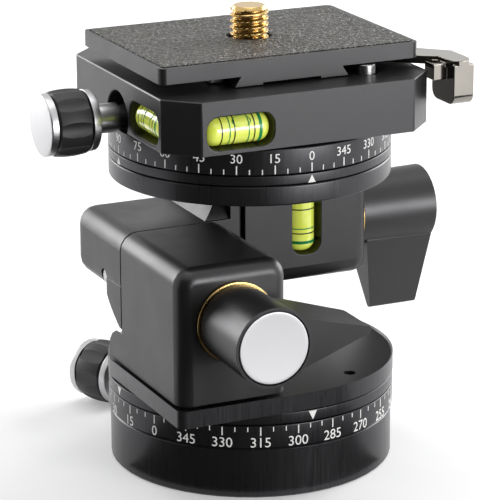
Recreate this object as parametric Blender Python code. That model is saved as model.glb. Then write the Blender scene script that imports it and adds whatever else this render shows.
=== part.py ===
# Tripod levelling head: a panning base, two crossed tilt axes and a panning dovetail clamp.
# Metres, +Z up, +X right, -Y front; the origin is on the pan axis, at the underside of the base.

import math

import bpy
import bmesh
from mathutils import Vector

MM = 0.001
GAP = 0.3 * MM              # between pieces that seat or run on each other
OVERRUN = 2.0 * MM          # how far a cutter passes the face that it opens
TOUCH = 0.01 * MM           # two places closer than this are the same place
MERGE = 0.001 * MM          # two points closer than this are one point

LARGE_SIDES = 48            # facets round the discs and rings
MEDIUM_SIDES = 32           # facets round spindles and hubs
SMALL_SIDES = 20            # facets round axles, knobs and vials
TINY_SIDES = 10             # facets round screws and pins
FILLET_STEPS = 4
FLUTE_STEPS = 5             # facets across a flute and its land
GRIP_ROWS = 4

# Turned stack, from the base upwards
BASE_R = 35.55 * MM
BASE_H = 12.85 * MM
DISC_EDGE = 0.5 * MM        # chamfer of the discs' outer edges
RING_PROUD = 0.35 * MM      # the base's degree ring and the platform's index ring, past the base
LOW_SCALE_H = 5.65 * MM
LOW_INDEX_H = 2.75 * MM
PLATFORM_PROUD = 0.1 * MM   # the platform, past its index ring
PLATFORM_H = 4.35 * MM
PLATFORM_FLAT = 0.8 * MM    # cut off the platform's left side
PLATFORM_CORNER = 2.0 * MM
TOP_R = 35.0 * MM
TOP_DISC_H = 4.75 * MM
TOP_INDEX_H = 2.25 * MM
TOP_SCALE_H = 6.1 * MM

# Pan bearings: a hollow spindle in the base, a solid one under the clamp
BUSH_R = 8.0 * MM
BUSH_BORE_R = 4.7 * MM      # 3/8 inch tripod thread
BUSH_H = 11.0 * MM
BUSH_RECESS = 0.5 * MM
SKIRT_R = 14.9 * MM
SKIRT_IN_R = 11.7 * MM
SKIRT_FOOT = 5.5 * MM
SKIRT_WEB = 3.2 * MM
SPINDLE_R = 12.0 * MM
SPIGOT_R = 9.0 * MM
SPINDLE_TOP_WALL = 3.45 * MM    # clamp metal left over the upper spindle
GROOVE_HALF = 1.6 * MM
GROOVE_DEEP = 1.2 * MM
SPARE_HOLE_R = 1.5 * MM
SPARE_HOLE = (14.7 * MM, -26.5 * MM)

# Tilt blocks
BLOCK_INSET = 0.7 * MM      # blocks' outer faces, inside the platform's side and the top disc's rim
HOUSING_SETBACK = 1.5 * MM  # front face, behind the platform's front
HOUSING_RIGHT = 5.9 * MM    # right face, left of the pan axis
HOUSING_BACK = 1.2 * MM     # back face, behind the pan axis
HOUSING_H = 33.9 * MM
HOUSING_TOP_FILLET = 4.5 * MM
HOUSING_FRONT_FILLET = 3.6 * MM
SEAM = 0.4 * MM             # slit between the front housing and the cross body
HEEL_D = 8.6 * MM           # cradle behind the seam, under the roll hub
HEEL_H = 8.3 * MM
HEEL_BACK_H = 2.2 * MM
ROLL_RISE = 20.1 * MM       # roll axis above the foot of the front housing
HUB_R = 17.8 * MM
HUB_RIM = 1.4 * MM          # straight edge of the roll hub
HUB_CONE_R = 14.9 * MM      # end of its tapered back
HUB_D = 9.2 * MM
CRADLE_PLAY = 0.8 * MM
BAR_D = 29.0 * MM
BAR_H = 17.5 * MM
BAR_FILLET = 4.5 * MM
BAR_BACK_FILLET = 3.0 * MM
PITCH_RISE = 7.4 * MM       # pitch axis above the roll axis
FLANGE_T = 3.4 * MM
FLANGE_FROM_HOUSING = 1.3 * MM  # the flange's left face, right of the front housing's
BLOCK_SLIT = 0.6 * MM       # slit between the flange and the upper housing
FLANGE_FILLET = 1.6 * MM
UPPER_D = 28.6 * MM
UPPER_LOW = 12.9 * MM       # below the pitch axis
UPPER_TOP = 19.1 * MM       # above the pitch axis
UPPER_BOTTOM_FILLET = 4.3 * MM
UPPER_SIDE_FILLET = 3.5 * MM

# Axles, their screws and washers
AXLE_R = 5.0 * MM
AXLE_EDGE = 0.6 * MM
ROLL_AXLE_DEEP = 23.4 * MM  # into the cross body
AXLE_WALL = 1.1 * MM        # left between the two axles' holes
AXLE_IN_LEVER = 17.0 * MM   # past the block's face
SET_SCREW_R = 1.5 * MM
SET_SCREW_SUNK = 0.4 * MM
ROLL_SCREW_BACK = 10.95 * MM    # behind the cross body's front face
PITCH_SCREW_SIDE = 6.8 * MM     # left of the flange's right face
WASHER_R = 10.0 * MM
WASHER_T = 0.9 * MM
CAP_SCREW_R = 1.7 * MM
CAP_SCREW_HEAD_R = 3.0 * MM
CAP_SCREW_HEAD_H = 2.4 * MM
CAP_SCREW_BITE = 6.0 * MM   # into the block
CAP_SCREW_INSET = 6.0 * MM

# Locking levers
LEVER_L = 22.2 * MM         # from the block's face to the end of the boss
BOSS_IN_R = 9.4 * MM
BOSS_R = 9.8 * MM
LEVER_CAP_R = 8.8 * MM
LEVER_CAP_T = 2.0 * MM
WING_L = 26.6 * MM
WING_IN_ROOT = 3.4 * MM     # inner edge, out from the block's face
WING_IN_TIP = 6.1 * MM
WING_OUT_TIP = 19.4 * MM
WING_CREASE = 6.0 * MM      # height of the wing's crest over the axis, at the root
WING_UNDER = 5.9 * MM
WING_TIP_HALF = 1.0 * MM
WING_ROOT = 8.0 * MM
PITCH_LEVER_TILT = math.radians(6.0)

# Knobs
KNOB_RING_R = 7.6 * MM
KNOB_RING_END_R = 7.35 * MM
KNOB_RING_L = 2.0 * MM
GRIP_L = 8.3 * MM
GRIP_END_R = 7.75 * MM
GRIP_R = 8.15 * MM
GRIP_BORE_R = 5.3 * MM
FLUTES = 8
FLUTE_R = 4.2 * MM
FLUTE_FLOOR_R = 7.55 * MM
STEM_R = 3.6 * MM
STEM_IN_R = 2.8 * MM
KNOB_SCREW_R = 2.0 * MM
KNOB_SCREW_SOCKET = 6.0 * MM
BRAKE_PIN_L = 6.5 * MM
LOW_KNOB_ANGLE = math.radians(113.4)
LOW_KNOB_Z = 8.5 * MM
LOW_KNOB_OUT = 9.45 * MM    # inner ring of the lower knob, from the base's rim
TOP_KNOB_OUT = 6.83 * MM    # inner ring of the upper knob, from the clamp's side
TOP_KNOB_RISE = 2.97 * MM   # above the clamp's underside
KNOB_SEAT_DEEP = 5.5 * MM
KNOB_SEAT_R = 6.5 * MM

# Clamp
CLAMP_PROUD = 0.17 * MM     # left and right sides, past the ring below
CLAMP_SHY = 1.22 * MM       # front and back, short of the ring below
CLAMP_CORNER = 7.2 * MM
CLAMP_H = 13.05 * MM
VIAL_R = 3.7 * MM
VIAL_SUNK = 0.5 * MM
WINDOW_L = 17.3 * MM
WINDOW_W = 8.0 * MM
WINDOW_CORNER = 3.0 * MM
FRONT_VIAL_MARGIN = 1.52 * MM   # from the clamp's chamfered corner to the front vial's window
SIDE_VIAL_MARGIN = 1.43 * MM
CLAMP_VIAL_RISE = 5.1 * MM
UPRIGHT_VIAL_X = 17.2 * MM  # right of the upper housing's left face
UPRIGHT_VIAL_RISE = 3.05 * MM   # above the pitch axis
JAW_T = 2.1 * MM
JAW_FRONT_Y = -18.0 * MM
JAW_END_Y = 20.0 * MM
JAW_CHAMFER = 0.6 * MM
TONGUE_W = 6.0 * MM
TONGUE_L = 2.2 * MM
TONGUE_H = 2.0 * MM
JAW_TRAVEL = 0.8 * MM
STOP_PIN = (20.2 * MM, -22.8 * MM)
PIN_R = 2.5 * MM
PIN_DEEP = 7.0 * MM
PIVOT = (25.0 * MM, -5.0 * MM)
CAM_R = 4.8 * MM
CAM_THROW = 1.4 * MM
TAB_OUT = 5.0 * MM          # finger gap between the clamp's side and the tab
TAB_T = 5.5 * MM
TAB_FRONT_Y = -31.0 * MM
TAB_BACK_Y = -19.8 * MM
TAB_H = 11.1 * MM
TAB_CORNER = 2.5 * MM
NECK_H = 5.1 * MM
NECK_IN = 1.2 * MM
NECK_FRONT_Y = -27.6 * MM
ARM_FRONT_Y = -21.2 * MM
ARM_EASE = 0.5 * MM         # the inner edge, clear of the clamp's side and of the tab's
ARM_SLOPE = 2.5 * MM        # how far forward the inner edge runs to the tab
TAB_NOSE_SHARE = 0.25       # of the tab's thickness, slanted off each side of its front end
CAM_START = 50              # degrees round the cam, where the lever's outline leaves and meets it
CAM_END = 238
CAM_STEPS = 14

# Quick plate
PLATE_HALF_X = 34.08 * MM
PLATE_HALF_Y = 24.24 * MM
PLATE_H = 3.85 * MM
PLATE_CORNER = 1.6 * MM
KEEL_TOP_HALF = 13.35 * MM
KEEL_HALF = 14.9 * MM
KEEL_SLOT_HALF = 7.65 * MM
KEEL_SLOT_DEEP = 0.5 * MM
KEEL_BITE = 1.0 * MM        # the keel's root, inside the plate
RIM_T = 1.0 * MM
PAD_SUNK = 0.8 * MM
PAD_PROUD = 0.2 * MM
PAD_HOLE_R = 5.6 * MM
CAMERA_SCREW_R = 4.76 * MM  # 3/8 inch camera thread
CAMERA_SCREW_OUT = 7.7 * MM
CAMERA_SCREW_TIP = 0.9 * MM
CAMERA_HEAD_R = 7.0 * MM
CAMERA_HEAD_T = 2.3 * MM
CAMERA_HEAD_SUNK = 0.6 * MM
COIN_SLOT_HALF = 0.8 * MM
COIN_SLOT_DEEP = 1.2 * MM

# Widths that follow from the discs
LOW_RING_R = BASE_R + RING_PROUD
PLATFORM_R = LOW_RING_R + PLATFORM_PROUD
PLATFORM_SIDE = PLATFORM_R - PLATFORM_FLAT
CLAMP_HALF_X = TOP_R + CLAMP_PROUD
CLAMP_HALF_Y = TOP_R - CLAMP_SHY
LOW_KNOB_IN = BASE_R + LOW_KNOB_OUT
TOP_KNOB_IN = CLAMP_HALF_X + TOP_KNOB_OUT
FRONT_VIAL_X = CLAMP_CORNER + FRONT_VIAL_MARGIN + WINDOW_L / 2 - CLAMP_HALF_X
SIDE_VIAL_Y = CLAMP_CORNER + SIDE_VIAL_MARGIN + WINDOW_L / 2 - CLAMP_HALF_Y
JAW_BACK_X = PIVOT[0] - CAM_THROW - CAM_R - GAP

# Heights that follow from the stack
Z_LOW_SCALE = BASE_H + GAP
Z_LOW_INDEX = Z_LOW_SCALE + LOW_SCALE_H + GAP
Z_PLATFORM = Z_LOW_INDEX + LOW_INDEX_H + GAP
Z_HOUSING = Z_PLATFORM + PLATFORM_H + GAP
Z_HOUSING_TOP = Z_HOUSING + HOUSING_H
Z_ROLL = Z_HOUSING + ROLL_RISE
Z_PITCH = Z_ROLL + PITCH_RISE
Z_UPPER = Z_PITCH - UPPER_LOW
Z_UPPER_TOP = Z_PITCH + UPPER_TOP
Z_TOP_DISC = Z_UPPER_TOP + GAP
Z_TOP_INDEX = Z_TOP_DISC + TOP_DISC_H + GAP
Z_TOP_SCALE = Z_TOP_INDEX + TOP_INDEX_H + GAP
Z_CLAMP = Z_TOP_SCALE + TOP_SCALE_H + GAP
Z_CLAMP_TOP = Z_CLAMP + CLAMP_H
Z_JAW = Z_CLAMP_TOP + GAP
Z_JAW_TOP = Z_JAW + JAW_T
Z_PLATE = Z_JAW_TOP + GAP
Z_PLATE_TOP = Z_PLATE + PLATE_H
Z_TOP_KNOB = Z_CLAMP + TOP_KNOB_RISE

# Planes that follow from the blocks
X_LEFT = BLOCK_INSET - PLATFORM_SIDE
X_HOUSING_RIGHT = -HOUSING_RIGHT
X_ROLL = (X_LEFT + X_HOUSING_RIGHT) / 2
X_FLANGE = X_HOUSING_RIGHT + FLANGE_FROM_HOUSING
X_FLANGE_RIGHT = X_FLANGE + FLANGE_T
X_UPPER = X_FLANGE_RIGHT + BLOCK_SLIT
X_UPPER_RIGHT = TOP_R - BLOCK_INSET
Y_FRONT = HOUSING_SETBACK - PLATFORM_R
Y_SEAM = HOUSING_BACK
Y_CROSS = Y_SEAM + SEAM
Y_CROSS_BACK = Y_CROSS + BAR_D
Y_PITCH = Y_CROSS + UPPER_D / 2
Y_UPPER_BACK = Y_CROSS + UPPER_D
Z_BAR = Z_HOUSING_TOP - BAR_H
AXLE_BORE_R = AXLE_R + GAP
X_PITCH_AXLE = X_ROLL + AXLE_BORE_R + AXLE_WALL + GAP
LEVER_FOOT = WASHER_T + GAP + GAP

ALONG = {"X": Vector((1, 0, 0)), "Y": Vector((0, 1, 0)), "Z": Vector((0, 0, 1))}
UP = Vector((0, 0, 1))


def clear_scene():
    for item in list(bpy.data.objects):
        bpy.data.objects.remove(item, do_unlink=True)


def make_material(name, colour, roughness, metallic):
    material = bpy.data.materials.new(name)
    material.use_nodes = True
    shader = material.node_tree.nodes["Principled BSDF"]
    shader.inputs["Base Color"].default_value = (*colour, 1)
    shader.inputs["Roughness"].default_value = roughness
    shader.inputs["Metallic"].default_value = metallic
    return material


def make_body(name, place, carrier=None):
    """An empty on the body's joint axis, carried by the body that it moves on."""
    body = bpy.data.objects.new(name + "_axis", None)
    bpy.context.collection.objects.link(body)
    body["place"] = place
    body.parent = carrier
    body.location = Vector(place) - (Vector(carrier["place"]) if carrier else Vector())
    return body


def make_object(name, bm, body):
    """Turn a shape drawn in the part's frame into an object carried by a body."""
    bmesh.ops.remove_doubles(bm, verts=bm.verts, dist=MERGE)
    bmesh.ops.recalc_face_normals(bm, faces=bm.faces)
    bmesh.ops.translate(bm, verts=bm.verts, vec=-Vector(body["place"]))
    mesh = bpy.data.meshes.new(name)
    bm.to_mesh(mesh)
    bm.free()
    mesh.shade_smooth()
    mesh.set_sharp_from_angle(angle=math.radians(30))
    item = bpy.data.objects.new(name, mesh)
    bpy.context.collection.objects.link(item)
    item.parent = body
    return item


def make_node(name, bm, body, finish):
    item = make_object(name, bm, body)
    item.data.materials.append(make_material(name + "_finish", *finish))
    return item


def combine(item, bm, operation):
    """Cut a shape out of an object, or join it on; returns the tool, which stays hidden."""
    tool = make_object(f"{item.name}_tool_{len(item.modifiers)}", bm, item.parent)
    tool.hide_render = True
    tool.display_type = "WIRE"
    modifier = item.modifiers.new(f"{operation.lower()} {len(item.modifiers)}", "BOOLEAN")
    modifier.operation = operation
    modifier.solver = "EXACT"
    modifier.object = tool
    return tool


def cut(item, bm):
    return combine(item, bm, "DIFFERENCE")


def join(item, bm):
    return combine(item, bm, "UNION")


def turned(profile, sides, place=(0, 0, 0), direction=UP):
    """Spin a profile of (radius, height) points; one that ends on the axis is left open there."""
    bm = bmesh.new()
    points = [bm.verts.new((radius, 0, height)) for radius, height in profile]
    edges = [bm.edges.new(pair) for pair in zip(points, points[1:])]
    if profile[0][0] > 0:
        edges.append(bm.edges.new((points[-1], points[0])))
    bmesh.ops.spin(bm, geom=points + edges, cent=(0, 0, 0), axis=UP, angle=math.tau,
                   steps=sides, use_merge=True)
    bmesh.ops.remove_doubles(bm, verts=bm.verts, dist=MERGE)
    turn = UP.rotation_difference(Vector(direction)).to_matrix()
    bmesh.ops.rotate(bm, verts=bm.verts, cent=(0, 0, 0), matrix=turn)
    bmesh.ops.translate(bm, verts=bm.verts, vec=place)
    return bm


def rod(radius, start, end, sides, edge=0.0):
    """A round bar between two places, its ends chamfered by edge."""
    run = Vector(end) - Vector(start)
    profile = [(0, 0), (radius - edge, 0), (radius, edge),
               (radius, run.length - edge), (radius - edge, run.length), (0, run.length)]
    if edge == 0:
        profile = [(0, 0), (radius, 0), (radius, run.length), (0, run.length)]
    return turned(profile, sides, start, run.normalized())


def ring(radius, bore, low, high, sides, edge):
    """A flat ring on the pan axis, its outer edges chamfered."""
    return turned([(bore, low), (radius - edge, low), (radius, low + edge),
                   (radius, high - edge), (radius - edge, high), (bore, high)], sides)


def block(low, high):
    bm = bmesh.new()
    bmesh.ops.create_cube(bm, size=1)
    low, high = Vector(low), Vector(high)
    bmesh.ops.scale(bm, vec=high - low, verts=bm.verts)
    bmesh.ops.translate(bm, vec=(low + high) / 2, verts=bm.verts)
    return bm


def spot(pair, along, level):
    """The place of a point of an outline that lies square to an axis."""
    first, second = pair
    if along == "X":
        return (level, first, second)
    if along == "Y":
        return (first, level, second)
    return (first, second, level)


def prism(outline, along, low, high):
    """Extrude an outline along an axis; it is given in the other two axes, in X, Y, Z order."""
    bm = bmesh.new()
    face = bm.faces.new([bm.verts.new(spot(pair, along, low)) for pair in outline])
    grown = bmesh.ops.extrude_face_region(bm, geom=[face])["geom"]
    moved = [item for item in grown if isinstance(item, bmesh.types.BMVert)]
    bmesh.ops.translate(bm, verts=moved, vec=ALONG[along] * (high - low))
    return bm


def arc(centre, radius, start, end, steps):
    """Points on a circle, from one angle to another, in degrees."""
    turns = [math.radians(start + (end - start) * step / steps) for step in range(steps + 1)]
    return [(centre[0] + radius * math.cos(turn), centre[1] + radius * math.sin(turn))
            for turn in turns]


def rounded_rectangle(centre, half_u, half_v, radius, steps=FILLET_STEPS):
    points = []
    for corner, (side_u, side_v) in enumerate([(1, 1), (-1, 1), (-1, -1), (1, -1)]):
        middle = (centre[0] + side_u * (half_u - radius), centre[1] + side_v * (half_v - radius))
        points += arc(middle, radius, 90 * corner, 90 * corner + 90, steps)
    return points


def fillet(bm, chosen, radius, steps=FILLET_STEPS):
    """Round the edges whose two ends both pass a test."""
    edges = [edge for edge in bm.edges if all(chosen(point.co) for point in edge.verts)]
    bmesh.ops.bevel(bm, geom=edges, offset=radius, segments=steps, profile=0.5, affect="EDGES")


def at(value, place):
    return abs(value - place) < TOUCH


BLACK_SATIN = ((0.018, 0.018, 0.019), 0.42, 0.7)
BLACK_BLASTED = ((0.014, 0.014, 0.015), 0.55, 0.6)
BLACK_RUBBER = ((0.012, 0.012, 0.012), 0.75, 0.0)
PAD_RUBBER = ((0.045, 0.045, 0.038), 0.85, 0.0)
SILVER = ((0.72, 0.72, 0.73), 0.3, 1.0)
PALE_CAP = ((0.86, 0.86, 0.87), 0.35, 0.9)
CHROME = ((0.8, 0.8, 0.82), 0.08, 1.0)
STEEL = ((0.5, 0.5, 0.5), 0.3, 1.0)
BRASS = ((0.8, 0.55, 0.22), 0.25, 1.0)
VIAL_GREEN = ((0.62, 0.85, 0.1), 0.1, 0.0)


def groove(radius, level):
    """Profile points of the V groove that a brake pin runs in, upwards on a spindle's side."""
    return [(radius, level - GROOVE_HALF), (radius - GROOVE_DEEP, level), (radius, level + GROOVE_HALF)]


def radial(angle, distance, level):
    return Vector((distance * math.cos(angle), distance * math.sin(angle), level))


def brake_reach(spindle):
    """Distance from the pan axis to the tip of a brake pin, half way down the groove."""
    return spindle - GROOVE_DEEP / 2 + GAP


def knob_bore(angle, level, spindle, seat):
    """The stepped hole of a knob's stem, screw and brake pin, from a spindle out to a seat."""
    screw_hole = KNOB_SCREW_R + GAP
    stem_hole = STEM_IN_R + GAP
    step = seat - KNOB_SEAT_DEEP
    profile = [(0, spindle), (screw_hole, spindle), (screw_hole, step), (stem_hole, step),
               (stem_hole, seat + OVERRUN), (0, seat + OVERRUN)]
    return turned(profile, SMALL_SIDES, (0, 0, level), radial(angle, 1, 0))


def add_brake_pin(name, body, angle, level, spindle):
    """A brass pin with a conical tip that reaches into the spindle's groove."""
    tip = brake_reach(spindle)
    end = tip + BRAKE_PIN_L
    profile = [(0, tip), (KNOB_SCREW_R - GROOVE_DEEP, tip), (KNOB_SCREW_R, tip + GROOVE_DEEP),
               (KNOB_SCREW_R, end), (0, end)]
    shape = turned(profile, TINY_SIDES, (0, 0, level), radial(angle, 1, 0))
    make_node(name, shape, body, BRASS)


def grip_radius(turn, along_share):
    """Barrel of the grip, cut by straight round flutes, which end as lenses where it narrows."""
    bulge = 1 - (2 * along_share - 1) ** 2
    barrel = GRIP_END_R + (GRIP_R - GRIP_END_R) * bulge
    pitch = math.tau / FLUTES
    offset = (turn + pitch / 2) % pitch - pitch / 2
    centre = FLUTE_FLOOR_R + FLUTE_R
    under_root = FLUTE_R ** 2 - (centre * math.sin(offset)) ** 2
    if under_root <= 0:
        return barrel
    return min(barrel, centre * math.cos(offset) - math.sqrt(under_root))


def fluted_grip(angle, level, inner):
    """Rubber barrel between two rings of the knob, as rows of points swept along its axis."""
    bm = bmesh.new()
    around = FLUTE_STEPS * FLUTES
    shares = [row / GRIP_ROWS for row in range(GRIP_ROWS + 1)]
    skin = [[(grip_radius(math.tau * step / around, share), share) for step in range(around)]
            for share in shares]
    bore = [[(GRIP_BORE_R, share)] * around for share in (1, 0)]
    direction = radial(angle, 1, 0)
    side = Vector((-math.sin(angle), math.cos(angle), 0))
    loops = []
    for row in skin + bore:
        loop = []
        for step, (radius, share) in enumerate(row):
            turn = math.tau * step / around
            out = side * math.cos(turn) + UP * math.sin(turn)
            loop.append(bm.verts.new(UP * level + direction * (inner + share * GRIP_L) + out * radius))
        loops.append(loop)
    for first, second in zip(loops, loops[1:] + loops[:1]):
        for step in range(around):
            following = (step + 1) % around
            bm.faces.new((first[step], first[following], second[following], second[step]))
    return bm


def add_knob(name, body, angle, level, inner, seat, spindle):
    """Stem and inner ring, fluted grip, outer ring with its cap, and the brake screw."""
    direction = radial(angle, 1, 0)
    place = (0, 0, level)
    grip = inner + KNOB_RING_L + GAP
    cap = grip + GRIP_L + GAP
    shoulder = seat + GAP
    stem_end = seat - KNOB_SEAT_DEEP + GAP
    core = turned([(0, stem_end), (STEM_IN_R, stem_end), (STEM_IN_R, shoulder), (STEM_R, shoulder),
                   (STEM_R, inner), (KNOB_RING_END_R, inner), (KNOB_RING_R, inner + KNOB_RING_L),
                   (GRIP_BORE_R - GAP, inner + KNOB_RING_L), (GRIP_BORE_R - GAP, cap - GAP),
                   (0, cap - GAP)], SMALL_SIDES, place, direction)
    core_item = make_node(f"{name}_core", core, body, SILVER)
    socket = stem_end + KNOB_SCREW_SOCKET
    cut(core_item, rod(KNOB_SCREW_R + GAP, radial(angle, stem_end - OVERRUN, level),
                       radial(angle, socket, level), SMALL_SIDES))
    make_node(f"{name}_grip", fluted_grip(angle, level, grip), body, BLACK_RUBBER)
    end = cap + KNOB_RING_L
    lip = KNOB_RING_R - KNOB_RING_END_R
    face = turned([(0, cap), (KNOB_RING_R, cap), (KNOB_RING_R, end - lip), (KNOB_RING_END_R, end),
                   (0, end)], SMALL_SIDES, place, direction)
    make_node(f"{name}_cap", face, body, PALE_CAP)
    screw_start = brake_reach(spindle) + BRAKE_PIN_L + GAP
    make_node(f"{name}_screw", rod(KNOB_SCREW_R, radial(angle, screw_start, level),
                                   radial(angle, socket - GAP, level), TINY_SIDES), body, STEEL)


def add_base(body):
    """Turned foot with an annular well for the platform's skirt, round a boss with the bush."""
    bush_hole = BUSH_R + GAP
    boss = SKIRT_IN_R - GAP
    well = SKIRT_R + GAP
    floor = SKIRT_FOOT - GAP
    disc = make_node("base_disc", turned([
        (bush_hole, 0), (BASE_R - DISC_EDGE, 0), (BASE_R, DISC_EDGE), (BASE_R, BASE_H - DISC_EDGE),
        (BASE_R - DISC_EDGE, BASE_H), (well, BASE_H), (well, floor), (boss, floor), (boss, BASE_H),
        (bush_hole, BASE_H)], LARGE_SIDES), body, BLACK_SATIN)
    cut(disc, knob_bore(LOW_KNOB_ANGLE, LOW_KNOB_Z, (boss + well) / 2, BASE_R))
    make_node("base_scale_ring", ring(LOW_RING_R, well, Z_LOW_SCALE, Z_LOW_SCALE + LOW_SCALE_H,
                                      LARGE_SIDES, GAP), body, BLACK_SATIN)
    top = BUSH_RECESS + BUSH_H
    mouth = BUSH_RECESS
    make_node("tripod_bush", turned([
        (BUSH_BORE_R + mouth, BUSH_RECESS), (BUSH_R, BUSH_RECESS), (BUSH_R, top), (BUSH_BORE_R, top),
        (BUSH_BORE_R, BUSH_RECESS + mouth)], SMALL_SIDES), body, STEEL)
    add_brake_pin("base_brake_pin", body, LOW_KNOB_ANGLE, LOW_KNOB_Z, SKIRT_R)


def platform_outline():
    """A disc whose front left quarter is filled out to a nearly square corner."""
    side = math.degrees(math.asin(PLATFORM_SIDE / PLATFORM_R))
    rounded = arc((0, 0), PLATFORM_R, -90, 90 + side, LARGE_SIDES)
    middle = (PLATFORM_CORNER - PLATFORM_SIDE, PLATFORM_CORNER - PLATFORM_R)
    return rounded + arc(middle, PLATFORM_CORNER, 180, 270, FILLET_STEPS)


def cap_screw_places(left, right, front, back):
    inset = CAP_SCREW_INSET
    return [(x, y) for x in (left + inset, right - inset) for y in (front + inset, back - inset)]


def housing_screw_places():
    return cap_screw_places(X_LEFT, X_HOUSING_RIGHT, Y_FRONT, Y_SEAM)


def cap_screw(place, head_end, toward, plate_t, play):
    """Screw, or with play its hole, whose head is sunk in the far side of a plate."""
    head_r = CAP_SCREW_HEAD_R + play
    shank_r = CAP_SCREW_R + play
    bite = plate_t + GAP + CAP_SCREW_BITE + play
    head_start = -OVERRUN if play else GAP
    head_h = GAP + CAP_SCREW_HEAD_H + play
    profile = [(0, head_start), (head_r, head_start), (head_r, head_h), (shank_r, head_h),
               (shank_r, bite), (0, bite)]
    return turned(profile, TINY_SIDES, (*place, head_end), UP * toward)


def merged(shapes):
    """Several separate shapes as one mesh."""
    whole = bmesh.new()
    for shape in shapes:
        mesh = bpy.data.meshes.new("part of a group")
        shape.to_mesh(mesh)
        shape.free()
        whole.from_mesh(mesh)
        bpy.data.meshes.remove(mesh)
    return whole


def screw_holes(item, places, level, toward, plate_t):
    cut(item, merged([cap_screw(place, level, toward, plate_t, GAP) for place in places]))


def add_screws(name, body, places, level, toward, plate_t):
    for count, place in enumerate(places, 1):
        make_node(f"{name}_{count}", cap_screw(place, level, toward, plate_t, 0), body, STEEL)


def add_platform(body):
    """Index ring, plate and hollow spindle that turn on the base, and the front housing."""
    make_node("platform_index_ring", ring(LOW_RING_R, SKIRT_R + GAP, Z_LOW_INDEX,
                                          Z_LOW_INDEX + LOW_INDEX_H, LARGE_SIDES, GAP),
              body, BLACK_SATIN)
    plate = make_node("platform_plate", prism(platform_outline(), "Z", Z_PLATFORM,
                                              Z_PLATFORM + PLATFORM_H), body, BLACK_SATIN)
    screw_holes(plate, housing_screw_places(), Z_PLATFORM, 1, PLATFORM_H)
    cut(plate, rod(SPARE_HOLE_R, (*SPARE_HOLE, Z_PLATFORM - OVERRUN),
                   (*SPARE_HOLE, Z_HOUSING + OVERRUN), TINY_SIDES))
    top = Z_PLATFORM - GAP
    web = top - SKIRT_WEB
    make_node("platform_spindle", turned(
        [(0, web), (SKIRT_IN_R, web), (SKIRT_IN_R, SKIRT_FOOT), (SKIRT_R, SKIRT_FOOT)]
        + groove(SKIRT_R, LOW_KNOB_Z) + [(SKIRT_R, top), (0, top)], MEDIUM_SIDES), body, STEEL)
    add_screws("housing_screw", body, housing_screw_places(), Z_PLATFORM, 1, PLATFORM_H)
    add_front_housing(body)
    add_washer("roll_washer", body, (X_ROLL, Y_FRONT, Z_ROLL), -ALONG["Y"])


def add_washer(name, body, face, out):
    start = Vector(face) + out * GAP
    shape = turned([(AXLE_BORE_R, 0), (WASHER_R, 0), (WASHER_R, WASHER_T), (AXLE_BORE_R, WASHER_T)],
                   MEDIUM_SIDES, start, out)
    make_node(name, shape, body, BRASS)


def heel():
    """Cradle behind the seam: a rounded wedge hollowed to the roll hub's radius."""
    back = Y_SEAM + HEEL_D
    crest = Z_HOUSING + HEEL_H
    low = Z_HOUSING + HEEL_BACK_H
    hidden = Y_SEAM - OVERRUN
    shoulder = Y_SEAM + HUB_RIM
    curve = [(shoulder + (back - shoulder) * math.sin(turn), low + (crest - low) * math.cos(turn))
             for turn in (math.pi / 2 * step / FILLET_STEPS for step in range(FILLET_STEPS + 1))]
    outline = [(hidden, Z_HOUSING), (hidden, crest)] + curve + [(back, Z_HOUSING)]
    return prism(outline, "X", X_LEFT, X_HOUSING_RIGHT)


def add_front_housing(body):
    """Rounded block on the platform that carries the roll axle."""
    box = block((X_LEFT, Y_FRONT, Z_HOUSING), (X_HOUSING_RIGHT, Y_SEAM, Z_HOUSING_TOP))
    fillet(box, lambda p: at(p.z, Z_HOUSING_TOP) and at(p.x, X_LEFT), HOUSING_TOP_FILLET)
    fillet(box, lambda p: at(p.z, Z_HOUSING_TOP) and at(p.x, X_HOUSING_RIGHT), HOUSING_TOP_FILLET)
    bmesh.ops.recalc_face_normals(box, faces=box.faces)
    front = [edge for edge in box.edges if all(at(p.co.y, Y_FRONT) for p in edge.verts)
             and not all(at(p.co.z, Z_HOUSING) for p in edge.verts)]
    bmesh.ops.bevel(box, geom=front, offset=HOUSING_FRONT_FILLET, segments=FILLET_STEPS,
                    profile=0.5, affect="EDGES")
    housing = make_node("front_housing", box, body, BLACK_BLASTED)
    cradle = join(housing, heel())
    cut(cradle, rod(HUB_R + CRADLE_PLAY, (X_ROLL, Y_SEAM - OVERRUN - OVERRUN, Z_ROLL),
                    (X_ROLL, Y_SEAM + HEEL_D + OVERRUN, Z_ROLL), LARGE_SIDES))
    cut(housing, rod(AXLE_BORE_R, (X_ROLL, Y_FRONT - OVERRUN, Z_ROLL),
                     (X_ROLL, Y_SEAM + OVERRUN, Z_ROLL), SMALL_SIDES))
    screw_holes(housing, housing_screw_places(), Z_PLATFORM, 1, PLATFORM_H)


def wing_reach(distance, inner, outer):
    """Where the wing's edge lies at a distance from the boss's axis, straight from root to tip."""
    share = (distance - WING_ROOT) / (WING_L - WING_ROOT)
    return inner + (outer - inner) * share


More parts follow.
